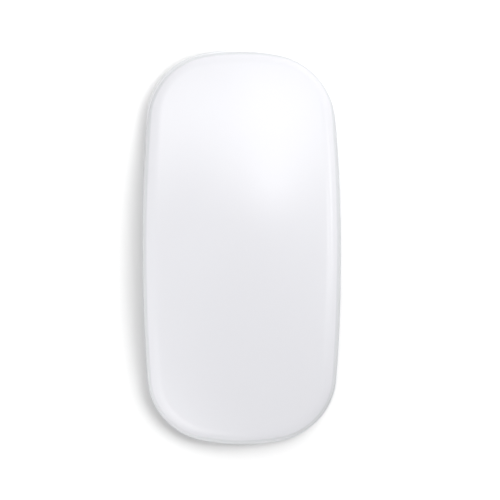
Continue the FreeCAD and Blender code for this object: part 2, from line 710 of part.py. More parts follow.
def rf_shield():
    """Folded tin can, open below."""
    can = box(SHIELD_X, SHIELD_Y, BOARD_TOP, SHIELD_WIDTH, SHIELD_DEPTH, SHIELD_HEIGHT)
    walls = 2 * SHIELD_WALL
    hollow = box(SHIELD_X, SHIELD_Y, BOARD_TOP, SHIELD_WIDTH - walls, SHIELD_DEPTH - walls,
                 SHIELD_HEIGHT - SHIELD_WALL)
    return can.cut(hollow)


def antenna():
    return box(ANTENNA_X, ANTENNA_Y, BOARD_TOP, ANTENNA_WIDTH, ANTENNA_DEPTH, ANTENNA_HEIGHT)


def sensor_chip():
    return box(SENSOR_X, SENSOR_Y, BOARD_TOP, SENSOR_WIDTH, SENSOR_DEPTH, SENSOR_HEIGHT)


def sensor_lens():
    """Clear lens block between the window and the board, with a neck through the board."""
    bottom = FLOOR + WINDOW_FLANGE_THICK
    block = box(SENSOR_X, SENSOR_Y, bottom, LENS_WIDTH, LENS_DEPTH, BOARD_BOTTOM - bottom)
    return block.fuse(box(SENSOR_X, SENSOR_Y, BOARD_BOTTOM, NECK_WIDTH, NECK_DEPTH, BOARD_THICK))


def sensor_window():
    """Window in the base with a thin flange inside."""
    pane = box(SENSOR_X, SENSOR_Y, BASE_LIFT, WINDOW_WIDTH, WINDOW_DEPTH, BASE_WALL, WINDOW_CORNER)
    wider = 2 * WINDOW_FLANGE
    flange = box(SENSOR_X, SENSOR_Y, FLOOR, WINDOW_WIDTH + wider, WINDOW_DEPTH + wider, WINDOW_FLANGE_THICK,
                 WINDOW_CORNER)
    return pane.fuse(flange)


def click_switch_housing():
    """Switch body with the well of its plunger."""
    shape = box(0, SWITCH_Y, BOARD_TOP, SWITCH_WIDTH, SWITCH_DEPTH, SWITCH_HEIGHT)
    return shape.cut(box(0, SWITCH_Y, SWITCH_TOP - PLUNGER_WELL, PLUNGER_WIDTH + 2 * PLAY,
                         PLUNGER_DEPTH + 2 * PLAY, PLUNGER_WELL))


def click_switch_plunger():
    height = PLUNGER_SUNK + PLUNGER_RISE
    return box(0, SWITCH_Y, SWITCH_TOP - PLUNGER_SUNK, PLUNGER_WIDTH, PLUNGER_DEPTH, height)


def click_switch_terminals():
    return group([switch_terminal(place) for place in (-1, 0, 1)])


def power_switch_housing():
    """Slide switch body under the board, with the slot of the stem."""
    body = box(POWER_X, POWER_Y, POWER_BODY_BOTTOM, POWER_BODY_WIDTH, POWER_BODY_LENGTH, POWER_BODY_HEIGHT)
    return body.cut(stem_slot(POWER_BODY_BOTTOM, POWER_SLOT_DEPTH))


def power_knob():
    """Ribbed knob in the base's opening, at its front end when the mouse is on."""
    y = POWER_Y + POWER_TRAVEL / 2
    shape = box(POWER_X, y, BASE_LIFT, KNOB_WIDTH, KNOB_LENGTH, KNOB_THICK, KNOB_CORNER)
    shape = shape.fuse(box(POWER_X, y, BASE_LIFT + KNOB_THICK, STEM, STEM, STEM_LENGTH))
    for number in range(KNOB_GROOVES):
        place = y + (number - (KNOB_GROOVES - 1) / 2) * KNOB_GROOVE_PITCH
        shape = shape.cut(box(POWER_X, place, BASE_LIFT, KNOB_WIDTH, KNOB_GROOVE_WIDTH, KNOB_GROOVE_DEPTH))
    return shape


def power_on_mark():
    """Green strip that shows behind the knob when the mouse is on."""
    length = knob_opening()[1]
    rear = POWER_Y - length / 2
    front = POWER_Y + POWER_TRAVEL / 2 - KNOB_LENGTH / 2
    bottom = POWER_BODY_BOTTOM - MARK_THICK
    strip = span(POWER_X - KNOB_WIDTH / 2, POWER_X + KNOB_WIDTH / 2, rear, front, bottom, POWER_BODY_BOTTOM)
    return strip.cut(stem_slot(bottom, MARK_THICK))


def status_led():
    return box(LED_X, LED_Y, BOARD_BOTTOM - LED_HEIGHT, LED_WIDTH, LED_DEPTH, LED_HEIGHT)


def light_pipe():
    """Clear pipe from the light down to the base's surface."""
    pipe = rod(LED_X, LED_Y, BASE_LIFT, PIPE_RADIUS, BASE_WALL)
    return pipe.fuse(rod(LED_X, LED_Y, FLOOR, PIPE_FLANGE_RADIUS, PIPE_FLANGE_HEIGHT))


def charge_port_shell():
    """Metal socket shell, open below, with the flange that is soldered to the board."""
    bottom = BASE_LIFT + PORT_SUNK
    shape = pill(0, PORT_Y, bottom, PORT_WIDTH, PORT_HEIGHT, PORT_DEPTH)
    shape = shape.fuse(pill(0, PORT_Y, BOARD_TOP, PORT_WIDTH + 2 * PORT_FLANGE, PORT_HEIGHT + 2 * PORT_FLANGE,
                            PORT_FLANGE_THICK))
    return shape.cut(pill(0, PORT_Y, bottom, PORT_WIDTH - 2 * PORT_WALL, PORT_HEIGHT - 2 * PORT_WALL,
                          PORT_DEPTH - PORT_WALL))


def charge_port_tongue():
    top = BASE_LIFT + PORT_SUNK + PORT_DEPTH - PORT_WALL
    return box(0, PORT_Y, top - TONGUE_LENGTH, TONGUE_WIDTH, TONGUE_THICK, TONGUE_LENGTH)


def port_bezel():
    """Plastic ring between the socket and the base."""
    ring = 2 * BEZEL_RING
    rim = 2 * (BEZEL_RING + BEZEL_FLANGE)
    shape = pill(0, PORT_Y, BASE_LIFT, PORT_WIDTH + ring, PORT_HEIGHT + ring, BASE_WALL)
    shape = shape.fuse(pill(0, PORT_Y, FLOOR, PORT_WIDTH + rim, PORT_HEIGHT + rim, BEZEL_FLANGE_THICK))
    return shape.cut(pill(0, PORT_Y, 0, PORT_WIDTH + 2 * PLAY, PORT_HEIGHT + 2 * PLAY, BOARD_BOTTOM))


def battery_pack():
    """Pouch cell with soft edges."""
    middle = (BATTERY_REAR + BATTERY_FRONT) / 2
    block = box(0, middle, BATTERY_BOTTOM, BATTERY_WIDTH, BATTERY_LENGTH, battery_thick())
    return block.makeFillet(BATTERY_EDGE, block.Edges)


def battery_pad():
    """Adhesive foam between the cell and the deck."""
    middle = (BATTERY_REAR + BATTERY_FRONT) / 2
    margins = 2 * PAD_MARGIN
    return box(0, middle, DECK_TOP, BATTERY_WIDTH - margins, BATTERY_LENGTH - margins, PAD_THICK)


def battery_protection_board():
    bottom = BATTERY_BOTTOM + PROTECTION_RISE
    return span(-PROTECTION_WIDTH / 2, PROTECTION_WIDTH / 2, BATTERY_FRONT, TRAY_FRONT, bottom,
                bottom + PROTECTION_HEIGHT)


def battery_tab():
    """Flat lead from the protection board over the tray's edge and down to the plug."""
    top = BATTERY_BOTTOM + PROTECTION_RISE + PROTECTION_HEIGHT / 2
    left = TAB_X - TAB_WIDTH / 2
    right = TAB_X + TAB_WIDTH / 2
    end = TRAY_FRONT + TAB_REACH
    level = span(left, right, TRAY_FRONT, end, top - TAB_THICK, top)
    return level.fuse(span(left, right, end - TAB_THICK, end, BOARD_TOP + BATTERY_PLUG_HEIGHT, top))


def battery_connector():
    y = TRAY_FRONT + TAB_REACH - TAB_THICK / 2
    return box(TAB_X, y, BOARD_TOP, BATTERY_PLUG_WIDTH, BATTERY_PLUG_DEPTH, BATTERY_PLUG_HEIGHT)


def touch_film():
    """Thin sensor film bonded under the crown."""
    area = span(-BRACKET_SIDE, BRACKET_SIDE, FILM_REAR, FILM_FRONT, 0, ABOVE_ALL)
    return inner_space(0).common(area).cut(inner_space(FILM_THICK))


def touch_flex():
    """Flat cable that hangs from the film and bends into its connector."""
    left = FLEX_X - FLEX_WIDTH / 2
    right = FLEX_X + FLEX_WIDTH / 2
    level = BOARD_TOP + FLEX_PLUG_HEIGHT / 2
    shape = span(left, right, FLEX_Y, FLEX_Y + FLEX_THICK, level, ABOVE_ALL)
    shape = shape.fuse(span(left, right, FLEX_Y - FLEX_FOOT, FLEX_Y, level, level + FLEX_THICK))
    return shape.common(inner_space(FILM_THICK))


def flex_connector():
    y = FLEX_Y - FLEX_FOOT - FLEX_PLUG_DEPTH / 2
    return box(FLEX_X, y, BOARD_TOP, FLEX_PLUG_WIDTH, FLEX_PLUG_DEPTH, FLEX_PLUG_HEIGHT)


NODES = {
    "top_shell": top_shell,
    "touch_film": touch_film,
    "touch_flex": touch_flex,
    "flex_connector": flex_connector,
    "front_bracket": front_bracket,
    "rear_bracket": rear_bracket,
    "hinge_pins": hinge_pins,
    "return_springs": return_springs,
    "inner_frame": inner_frame,
    "frame_screws": frame_screws,
    "base_shell": base_shell,
    "right_runner": right_runner,
    "left_runner": lambda: mirrored(right_runner()),
    "main_board": main_board,
    "board_screws": board_screws,
    "board_chips": board_chips,
    "rf_shield": rf_shield,
    "antenna": antenna,
    "sensor_chip": sensor_chip,
    "sensor_lens": sensor_lens,
    "sensor_window": sensor_window,
    "click_switch_housing": click_switch_housing,
    "click_switch_plunger": click_switch_plunger,
    "click_switch_terminals": click_switch_terminals,
    "power_switch_housing": power_switch_housing,
    "power_knob": power_knob,
    "power_on_mark": power_on_mark,
    "status_led": status_led,
    "light_pipe": light_pipe,
    "charge_port_shell": charge_port_shell,
    "charge_port_tongue": charge_port_tongue,
    "port_bezel": port_bezel,
    "battery_pack": battery_pack,
    "battery_pad": battery_pad,
    "battery_protection_board": battery_protection_board,
    "battery_tab": battery_tab,
    "battery_connector": battery_connector,
}


def main():
    os.makedirs("parts", exist_ok=True)
    for name, make in NODES.items():
        shape = make()
        solids = shape.Solids
        shape = solids[0] if len(solids) == 1 else group(solids)
        shape.exportStep("parts/" + name + ".step")
        extent = shape.BoundBox
        print(f"{name}: {len(solids)} solids, {shape.Volume:.1f} mm3, valid {shape.isValid()}, "
              f"z {extent.ZMin:.2f} to {extent.ZMax:.2f}")


if __name__ == "__main__":
    main()
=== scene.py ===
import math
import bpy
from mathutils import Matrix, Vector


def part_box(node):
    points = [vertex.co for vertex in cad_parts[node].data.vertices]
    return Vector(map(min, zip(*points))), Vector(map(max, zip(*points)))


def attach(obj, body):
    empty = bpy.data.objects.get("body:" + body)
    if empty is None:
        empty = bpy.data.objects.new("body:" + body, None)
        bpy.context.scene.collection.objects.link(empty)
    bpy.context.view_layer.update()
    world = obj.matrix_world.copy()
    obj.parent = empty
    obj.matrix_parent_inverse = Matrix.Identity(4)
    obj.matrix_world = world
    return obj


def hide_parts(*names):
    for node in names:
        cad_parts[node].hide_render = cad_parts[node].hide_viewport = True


bl_info = {
    "name": "Wireless Mouse",
    "version": (1, 0, 0),
    "blender": (4, 5, 0),
    "location": "View3D > Sidebar > Mouse",
    "description": "Dresses the packed wireless mouse, outside and inside, and lights it",
    "category": "Object",
}

import bmesh
import bpy
from mathutils import Vector

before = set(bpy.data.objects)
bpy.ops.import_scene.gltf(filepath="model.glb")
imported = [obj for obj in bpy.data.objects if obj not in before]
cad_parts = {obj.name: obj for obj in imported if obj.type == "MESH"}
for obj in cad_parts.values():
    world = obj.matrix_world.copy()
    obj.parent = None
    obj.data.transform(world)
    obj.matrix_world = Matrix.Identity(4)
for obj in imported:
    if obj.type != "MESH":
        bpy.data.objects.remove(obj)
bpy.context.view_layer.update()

# Lengths are in metres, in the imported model's own frame: X right, Y towards the fingers, Z up.
MM = 0.001
SHELL_SPACING = 0.0011
SHOULDER = 0.001
WHITE = (1.0, 1.0, 1.0)
BLACK = (0.0, 0.0, 0.0)
BASE_LOW, BASE_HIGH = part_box("base_shell")
CROWN_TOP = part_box("top_shell")[1].z


def length_property(name, description, default):
    """Property in metres."""
    return bpy.props.FloatProperty(name=name, description=description, default=default, unit="LENGTH")


def colour_property(name, description, default):
    """Property of a red, green and blue share."""
    return bpy.props.FloatVectorProperty(name=name, description=description, default=default, subtype="COLOR")


class MouseSizes(bpy.types.PropertyGroup):
    """Sizes of the shell, the glides and the small trim."""

    length: length_property("Length", "Tip to tip", BASE_HIGH.y - BASE_LOW.y)
    width: length_property("Width", "Side to side", BASE_HIGH.x - BASE_LOW.x)
    height: length_property("Height", "Desk to the crown's highest point", CROWN_TOP)
    side_radius: length_property("Side radius", "Arc of each long side", 0.555)
    front_radius: length_property("Front radius", "Arc of the finger end", 0.064)
    front_corner: length_property("Front corner", "Arc of the front corners", 0.020)
    rear_radius: length_property("Rear radius", "Arc of the palm end", 0.0605)
    rear_corner: length_property("Rear corner", "Arc of the rear corners", 0.0194)
    crown_tip: length_property("Crown at the tips", "Crown's height over the tips", 0.0089)
    crown_side: length_property("Crown at the sides", "Crown's height over the sides", 0.017)
    crown_middle: length_property("Crown's middle", "Place of the highest point", -0.002)
    edge_radius: length_property("Edge radius", "Roll from the crown down to the side", 0.006)
    shell_inset: length_property("Shell inset", "How far the shell stands in from the base", 0.0003)
    shell_wall: length_property("Shell wall", "Thickness of the shell", 0.0016)
    seam_middle: length_property("Seam middle", "Shell's lower edge half way along", 0.0098)
    seam_end: length_property("Seam end", "Shell's lower edge at the tips", 0.0053)
    seam_tilt: bpy.props.FloatProperty(
        name="Seam tilt", description="Rise of the edge that the click takes up", default=0.00407,
        subtype="ANGLE")
    pivot: length_property("Pivot", "Place of the hinge along the mouse", -0.043)
    lip: length_property("Lip", "Rounding of the shell's lower edge", 0.00018)
    clear_edge: length_property("Clear edge", "Width of the clear edge seen from above", 0.0010)
    trim_rounding: length_property("Trim rounding", "Rounding of small trim", 0.00018)
    glide_rounding: length_property("Glide rounding", "Rounding of the glides' lower edges", 0.0004)


class MouseColours(bpy.types.PropertyGroup):
    """Colours of the finishes."""

    shell: colour_property("Shell", "Gloss white of the shell", (0.80, 0.80, 0.835))
    clear_edge: colour_property("Clear edge", "Clear edge round the shell", (0.70, 0.71, 0.735))
    metal: colour_property("Base metal", "Satin aluminium of the base", (0.56, 0.565, 0.58))
    glide: colour_property("Glides", "Glide strips", (0.03, 0.031, 0.033))
    frame_black: colour_property("Carrier", "Moulded carrier", (0.025, 0.026, 0.028))
    bracket: colour_property("Brackets", "Brackets under the shell", (0.32, 0.33, 0.34))
    steel: colour_property("Steel", "Pins and the port's shell", (0.60, 0.60, 0.61))
    spring_steel: colour_property("Spring steel", "Leaf springs", (0.48, 0.47, 0.45))
    screw: colour_property("Screws", "Blackened screws", (0.06, 0.06, 0.065))
    board: colour_property("Circuit board", "Solder mask", (0.012, 0.10, 0.045))
    trace: colour_property("Tracks", "Copper under the mask", (0.035, 0.20, 0.085))
    gold: colour_property("Gold", "Plated contacts and holes", (0.83, 0.60, 0.24))
    brass: colour_property("Brass", "Switch terminals", (0.72, 0.55, 0.28))
    tin: colour_property("Tin", "Shield and the battery's lead", (0.68, 0.68, 0.67))
    chip: colour_property("Chips", "Chip cases and the port's tongue", (0.022, 0.022, 0.024))
    antenna: colour_property("Antenna", "Ceramic antenna", (0.70, 0.70, 0.66))
    lens: colour_property("Lens", "Sensor's lens and light guide", (0.93, 0.95, 0.96))
    window: colour_property("Window", "Dark sensor window", (0.018, 0.012, 0.016))
    switch: colour_property("Switches", "Switch housings", (0.035, 0.035, 0.038))
    plunger: colour_property("Plunger", "Switch plunger", (0.72, 0.72, 0.70))
    knob: colour_property("Power knob", "Sliding knob", (0.40, 0.41, 0.43))
    mark: colour_property("On mark", "Green strip behind the knob", (0.03, 0.48, 0.09))
    light: colour_property("Status light", "Lens of the light", (0.80, 0.62, 0.20))
    trim: colour_property("Port ring", "Ring round the port", (0.70, 0.71, 0.73))
    cell: colour_property("Battery", "Pouch of the cell", (0.50, 0.51, 0.52))
    pad: colour_property("Pad", "Foam pad", (0.10, 0.10, 0.11))
    film: colour_property("Touch film", "Amber sensor film", (0.42, 0.17, 0.025))
    flex: colour_property("Flat cable", "Flat cable", (0.55, 0.22, 0.03))
    connector: colour_property("Connectors", "Plug housings", (0.66, 0.62, 0.52))
    floor: colour_property("Floor", "Studio floor", (0.80, 0.80, 0.80))


# Shader nodes
class Value:
    """A shader socket that can stand in a Python expression."""

    def __init__(self, finish, socket):
        self.finish = finish
        self.socket = socket

    def maths(self, operation, *terms):
        node = self.finish.node("ShaderNodeMath", {"operation": operation}, dict(enumerate(terms)))
        return Value(self.finish, node.outputs[0])

    def __add__(self, other):
        return self.maths("ADD", self, other)

    __radd__ = __add__

    def __sub__(self, other):
        return self.maths("SUBTRACT", self, other)

    def __rsub__(self, other):
        return self.maths("SUBTRACT", other, self)

    def __mul__(self, other):
        return self.maths("MULTIPLY", self, other)

    __rmul__ = __mul__

    def __truediv__(self, other):
        return self.maths("DIVIDE", self, other)

    def largest(self, other):
        return self.maths("MAXIMUM", self, other)

    def absolute(self):
        return self.maths("ABSOLUTE", self)

    def wave(self):
        return self.maths("SINE", self)

    def fade(self, start, end):
        """Rises smoothly from 0 at start to 1 at end."""
        settings = {"interpolation_type": "SMOOTHSTEP"}
        sockets = {"Value": self, "From Min": start, "From Max": end, "To Min": 0.0, "To Max": 1.0}
        node = self.finish.node("ShaderNodeMapRange", settings, sockets)
        return Value(self.finish, node.outputs["Result"])


class Finish:
    """A node tree under construction."""

    def __init__(self, tree):
        self.tree = tree
        self.tree.nodes.clear()

    def node(self, kind, settings, sockets):
        """Adds a node, sets it up, and then fills its sockets with values or links."""
        node = self.tree.nodes.new(kind)
        for name, value in settings.items():
            setattr(node, name, value)
        for key, value in sockets.items():
            if isinstance(key, int):
                socket = node.inputs[key]
            else:
                socket = next(s for s in node.inputs if s.name == key and s.enabled)
            if isinstance(value, Value):
                self.tree.links.new(value.socket, socket)
            elif socket.type == "RGBA":
                socket.default_value = (*value[:3], 1.0)
            else:
                socket.default_value = value
        return node

    def output(self, node, name):
        return Value(self, next(s for s in node.outputs if s.name == name and s.enabled))

    def place(self):
        """The point on the object, as a vector."""
        return self.output(self.node("ShaderNodeTexCoord", {}, {}), "Object")

    def axes(self):
        """The point on the object, as its three coordinates."""
        node = self.node("ShaderNodeSeparateXYZ", {}, {"Vector": self.place()})
        return [self.output(node, axis) for axis in "XYZ"]

    def attribute(self, name):
        node = self.node("ShaderNodeAttribute", {"attribute_name": name}, {})
        return self.output(node, "Fac")

    def noise(self, size, detail=2.0, stretch=(1.0, 1.0, 1.0)):
        """Cloudy value from 0 to 1 whose blobs are about this size."""
        scaled = self.node("ShaderNodeVectorMath", {"operation": "MULTIPLY"},
                           {0: self.place(), 1: Vector(stretch) / size})
        node = self.node("ShaderNodeTexNoise", {},
                         {"Vector": self.output(scaled, "Vector"), "Scale": 1.0, "Detail": detail})
        return self.output(node, "Fac")

    def cells(self, size):
        """Distance to the nearest of many scattered points, in cells of this size."""
        node = self.node("ShaderNodeTexVoronoi", {}, {"Vector": self.place(), "Scale": 1.0 / size})
        return self.output(node, "Distance")

    def mix(self, factor, first, second):
        """Colour between the first and the second."""
        node = self.node("ShaderNodeMix", {"data_type": "RGBA"}, {"Factor": factor, "A": first, "B": second})
        return self.output(node, "Result")

    def bump(self, height, depth):
        """Normal of a surface whose relief is this deep."""
        node = self.node("ShaderNodeBump", {}, {"Height": height, "Distance": depth, "Strength": 1.0})
        return self.output(node, "Normal")

    def looks(self):
        """Two masks: 1 for what the camera sees itself, and 1 for what a mirror or glass shows it."""
        node = self.node("ShaderNodeLightPath", {}, {})
        rays = ("Is Camera Ray", "Is Glossy Ray", "Is Transmission Ray")
        camera, glossy, through = [self.output(node, ray) for ray in rays]
        return camera, glossy.largest(through)

    def end(self, kind, shader):
        self.node(kind, {}, {"Surface": Value(self, shader.outputs[0])})


def surface(name, paint):
    """Material by this name whose Principled sockets are what paint returns; made once."""
    made = bpy.data.materials.get(name)
    if made is None:
        made = bpy.data.materials.new(name)
        made.use_nodes = True
        finish = Finish(made.node_tree)
        shader = finish.node("ShaderNodeBsdfPrincipled", {}, paint(finish))
        finish.end("ShaderNodeOutputMaterial", shader)
    return made


def shade(colour, share):
    """The colour, darker where share is under 1 and lighter where it is over."""
    return [channel * share for channel in colour]


def moulded(name, colour, roughness=0.45, grain=0.00025, relief=0.00001):
    """Moulded plastic: faint clouding and a fine spark-eroded grain."""
    def paint(f):
        specks = f.noise(grain, detail=3.0)
        clouds = f.noise(0.008)
        return {
            "Base Color": f.mix(clouds * 0.7 + specks * 0.3, shade(colour, 0.88), shade(colour, 1.08)),
            "Roughness": roughness - 0.06 + specks * 0.12,
            "Normal": f.bump(specks, relief),
        }
    return surface(name, paint)


def brushed(name, colour, roughness=0.3, stretch=(1.0, 0.06, 1.0), grain=0.0002, relief=0.000004):
    """Worked metal with fine lines along the way that stretch is short in."""
    def paint(f):
        lines = f.noise(grain, detail=3.0, stretch=stretch)
        clouds = f.noise(0.004)
        return {
            "Base Color": f.mix(lines * 0.6 + clouds * 0.4, shade(colour, 0.86), shade(colour, 1.1)),
            "Roughness": roughness - 0.08 + lines * 0.16,
            "Metallic": 1.0,
            "Normal": f.bump(lines, relief),
        }
    return surface(name, paint)


def chip_case(colours):
    """Moulded case of a chip."""
    return moulded("chip_case", colours.chip, roughness=0.35, grain=0.00012, relief=0.000004)


def connector_plastic(colours):
    """Plug housings of the flat cable and the battery."""
    return moulded("connector_plastic", colours.connector, roughness=0.4)


def switch_plastic(colours):
    """Housings of the click switch and the power switch."""
    return moulded("switch_plastic", colours.switch, roughness=0.4)


# Meshes
def make_piece(name, build, material, body, nodes, smooth_angle=35.0):
    """Object from a bmesh that build fills; it rides on body and stands for the CAD nodes."""
    same_point = 1e-7
    mesh = bpy.data.meshes.new(name)
    shape = bmesh.new()
    build(shape)
    bmesh.ops.remove_doubles(shape, verts=shape.verts, dist=same_point)
    bmesh.ops.recalc_face_normals(shape, faces=shape.faces)
    for face in shape.faces:
        face.smooth = True
    for edge in shape.edges:
        if len(edge.link_faces) == 2:
            edge.smooth = edge.calc_face_angle() < math.radians(smooth_angle)
    shape.to_mesh(mesh)
    shape.free()
    piece = bpy.data.objects.new(name, mesh)
    bpy.context.scene.collection.objects.link(piece)
    piece.data.materials.append(material)
    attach(piece, body)
    if nodes:
        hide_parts(*nodes)
    return piece


def span(node, flange=0.0):
    """A node's lowest and highest corners, their middle, and its width and depth inside its flange."""
    low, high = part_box(node)
    return low, high, (low + high) / 2, high.x - low.x - 2 * flange, high.y - low.y - 2 * flange


def dress(node, material):
    """Gives a CAD node that stays its material."""
    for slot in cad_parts[node].material_slots:
        slot.material = material


def ring(shape, points):
    return [shape.verts.new(point) for point in points]


def bridge(shape, first, second):
    """Band of faces between two rings of equal count."""
    count = len(first)
    for here in range(count):
        after = (here + 1) % count
        shape.faces.new((first[here], first[after], second[after], second[here]))


def rounded(middle, width, depth, corner, inset, z, spacing=None):
    """Rounded rectangle seen from above, from its rear middle round by the right, made smaller by inset."""
    smallest = 0.00002
    steps = 8
    radius = max(corner - inset, smallest)
    reach_x = width / 2 - inset - radius
    reach_y = depth / 2 - inset - radius
    points = [(0.0, -reach_y - radius)]
    for step in range(steps + 1):
        angle = math.radians(-90 + 90 * step / steps)
        points.append((reach_x + radius * math.cos(angle), -reach_y + radius * math.sin(angle)))
    rows = max(2, int(2 * reach_y / spacing)) if spacing else 2
    for step in range(1, rows):
        points.append((reach_x + radius, -reach_y + 2 * reach_y * step / rows))
    for step in range(steps + 1):
        angle = math.radians(90 * step / steps)
        points.append((reach_x + radius * math.cos(angle), reach_y + radius * math.sin(angle)))
    points.append((0.0, reach_y + radius))
    left = [(-x, y) for x, y in reversed(points[1:-1])]
    return [Vector((middle.x + x, middle.y + y, z)) for x, y in points + left]


def stack(shape, rings, closed=False):
    """Body through rings of points, capped at both ends or joined into a loop."""
    made = [ring(shape, points) for points in rings]
    for first, second in zip(made, made[1:]):
        bridge(shape, first, second)
    if closed:
        bridge(shape, made[-1], made[0])
    else:
        shape.faces.new(made[0])
        shape.faces.new(made[-1])


def fill_across(shape, edge, columns, height):
    """Fills a ring that is symmetric left and right with rows of faces at the given height."""
    half = len(edge) // 2
    rows = [[edge[0]]]
    for index in range(1, half):
        left = edge[-index].co
        right = edge[index].co
        row = [edge[-index]]
        for step in range(1, columns):
            point = left.lerp(right, step / columns)
            point.z = height(point.x, point.y)
            row.append(shape.verts.new(point))
        rows.append(row + [edge[index]])
    rows.append([edge[half]])
    for first, second in zip(rows, rows[1:]):
        if len(first) == 1:
            first = first * len(second)
        if len(second) == 1:
            second = second * len(first)
        for step in range(len(first) - 1):
            corners = []
            for corner in (first[step], first[step + 1], second[step + 1], second[step]):
                if corner not in corners:
                    corners.append(corner)
            if len(corners) > 2:
                shape.faces.new(corners)


def edge_profile(bottom, radius, steps=5, flatness=1.0):
    """Insets and heights of points round a rounded lower edge, from the face to the side."""
    places = []
    for step in range(steps + 1):
        angle = math.radians(90 * step / steps)
        places.append((radius * (1 - math.sin(angle)), bottom + radius * (1 - math.cos(angle)) * flatness))
    return places


def build_trim(middle, width, depth, corner, places, spacing=None, closed=False):
    """Returns a builder of a body through rounded rectangles, one for each inset and height in places."""
    def build(shape):
        rings = [rounded(middle, width, depth, corner, inset, z, spacing) for inset, z in places]
        stack(shape, rings, closed)
    return build


# The shell's form
class Crown:
    """The shell's arched top: an arc across the mouse, turned about a far axis into one along it."""

    def __init__(self, sizes):
        self.top = sizes.height
        self.middle = sizes.crown_middle
        self.long = self.arc(sizes.length / 2, sizes.height - sizes.crown_tip)
        self.cross = self.arc(sizes.width / 2, sizes.height - sizes.crown_side)

    @staticmethod
    def arc(half, rise):
        """Radius of an arc that rises this far over half its chord."""
        return (half ** 2 + rise ** 2) / (2 * rise)

    def reach(self, x, depth):
        cross = self.cross - depth
        return self.long - self.cross + math.sqrt(cross ** 2 - x ** 2)

    def height(self, x, y, depth=0.0):
        return self.top - self.long + math.sqrt(self.reach(x, depth) ** 2 - (y - self.middle) ** 2)

    def normal(self, x, y, depth=0.0):
        reach = self.reach(x, depth)
        along = (y - self.middle) / reach
        cross = self.cross - depth
        up = math.sqrt(cross ** 2 - x ** 2) / cross
        return Vector((x / cross, up * along, up * math.sqrt(1 - along ** 2)))


def outline(sizes, spacing):
    """Points and outward ways round the mouse, from the rear tip round by the right."""
    half_width = sizes.width / 2
    half_length = sizes.length / 2
    side = Vector((half_width - sizes.side_radius, 0.0))
    turns = {}
    for way, end_radius, corner_radius in (
        (-1, sizes.rear_radius, sizes.rear_corner),
        (1, sizes.front_radius, sizes.front_corner),
    ):
        end = Vector((0.0, way * (half_length - end_radius)))
        between = end - side
        from_side = sizes.side_radius - corner_radius
        from_end = end_radius - corner_radius
        along = (from_side ** 2 - from_end ** 2 + between.length ** 2) / (2 * between.length)
        across = math.sqrt(from_side ** 2 - along ** 2)
        ahead = Vector((-between.y, between.x)).normalized() * across * way
        corner = side + between.normalized() * along + ahead
        to_side = math.atan2(corner.y - side.y, corner.x - side.x)
        to_end = math.atan2(corner.y - end.y, corner.x - end.x)
        turns[way] = (end, end_radius, corner, corner_radius, to_side, to_end)
    end, end_radius, corner, corner_radius, to_side, to_end = turns[-1]
    arcs = [(end, end_radius, -math.pi / 2, to_end), (corner, corner_radius, to_end, to_side)]
    rear_side = to_side
    end, end_radius, corner, corner_radius, to_side, to_end = turns[1]
    arcs.append((side, sizes.side_radius, rear_side, to_side))
    arcs += [(corner, corner_radius, to_side, to_end), (end, end_radius, to_end, math.pi / 2)]
    right = []
    for centre, radius, start, finish in arcs:
        steps = max(4, round(radius * (finish - start) / spacing))
        for step in range(steps):
            angle = start + (finish - start) * step / steps
            way = Vector((math.cos(angle), math.sin(angle)))
            right.append((centre + way * radius, way))
    right.append((Vector((0.0, half_length)), Vector((0.0, 1.0))))
    right[0] = (Vector((0.0, -half_length)), Vector((0.0, -1.0)))
    left = [(Vector((-p.x, p.y)), Vector((-w.x, w.y))) for p, w in reversed(right[1:-1])]
    return right + left


def seam_height(sizes, y):
    """Height of the shell's lower edge."""
    half = sizes.length / 2
    radius = Crown.arc(half, sizes.seam_middle - sizes.seam_end)
    arch = sizes.seam_middle - radius + math.sqrt(radius ** 2 - y ** 2)
    return arch + (y - sizes.pivot) * math.tan(sizes.seam_tilt)


def shell_side(sizes, crown, point, way, depth, steps):
    """Points from the crown's rim down the rolled edge and the side to the seam."""
    radius = sizes.edge_radius - depth
    wall = point - way * (sizes.shell_inset + depth)
    centre = wall - way * radius
    up = crown.normal(centre.x, centre.y, depth + radius)
    out = Vector((way.x, way.y, 0.0))
    middle = Vector((centre.x, centre.y, crown.height(centre.x, centre.y, depth + radius)))
    turn = up.angle(out)
    roll = radius * turn

    def at(distance):
        if distance < roll:
            return middle + up.slerp(out, distance / roll) * radius
        return Vector((wall.x, wall.y, middle.z - (distance - roll)))

    low = 0.0
    high = roll + middle.z
    halvings = 40
    for _ in range(halvings):
        half_way = (low + high) / 2
        here = at(half_way)
        if here.z > seam_height(sizes, here.y):
            low = half_way
        else:
            high = half_way
    return [at(low * step / steps) for step in range(steps + 1)], at(max(low - sizes.lip, 0.0))


def build_shell(sizes):
    """Returns a builder of the closed shell: crown, rolled edge, lip and inside."""
    outer_steps, outer_columns = 22, 36
    inner_steps, inner_columns = 10, 24
    crown = Crown(sizes)
    places = outline(sizes, SHELL_SPACING)

    def build(shape):
        outer_rings = []
        inner_rings = []
        for depth, steps, aside, rings in (
            (0.0, outer_steps, sizes.lip, outer_rings),
            (sizes.shell_wall, inner_steps, -sizes.lip, inner_rings),
        ):
            columns = [shell_side(sizes, crown, point, way, depth, steps) for point, way in places]
            for step in range(steps):
                rings.append([points[step] for points, _ in columns])
            rings.append([above for _, above in columns])
            lip = []
            for (points, _), (_, way) in zip(columns, places):
                lip.append(points[steps] - Vector((way.x, way.y, 0.0)) * aside)
            rings.append(lip)
        made = [ring(shape, points) for points in outer_rings + inner_rings[::-1]]
        for first, second in zip(made, made[1:]):
            bridge(shape, first, second)
        fill_across(shape, made[0], outer_columns, crown.height)
        fill_across(shape, made[-1], inner_columns, lambda x, y: crown.height(x, y, sizes.shell_wall))
    return build


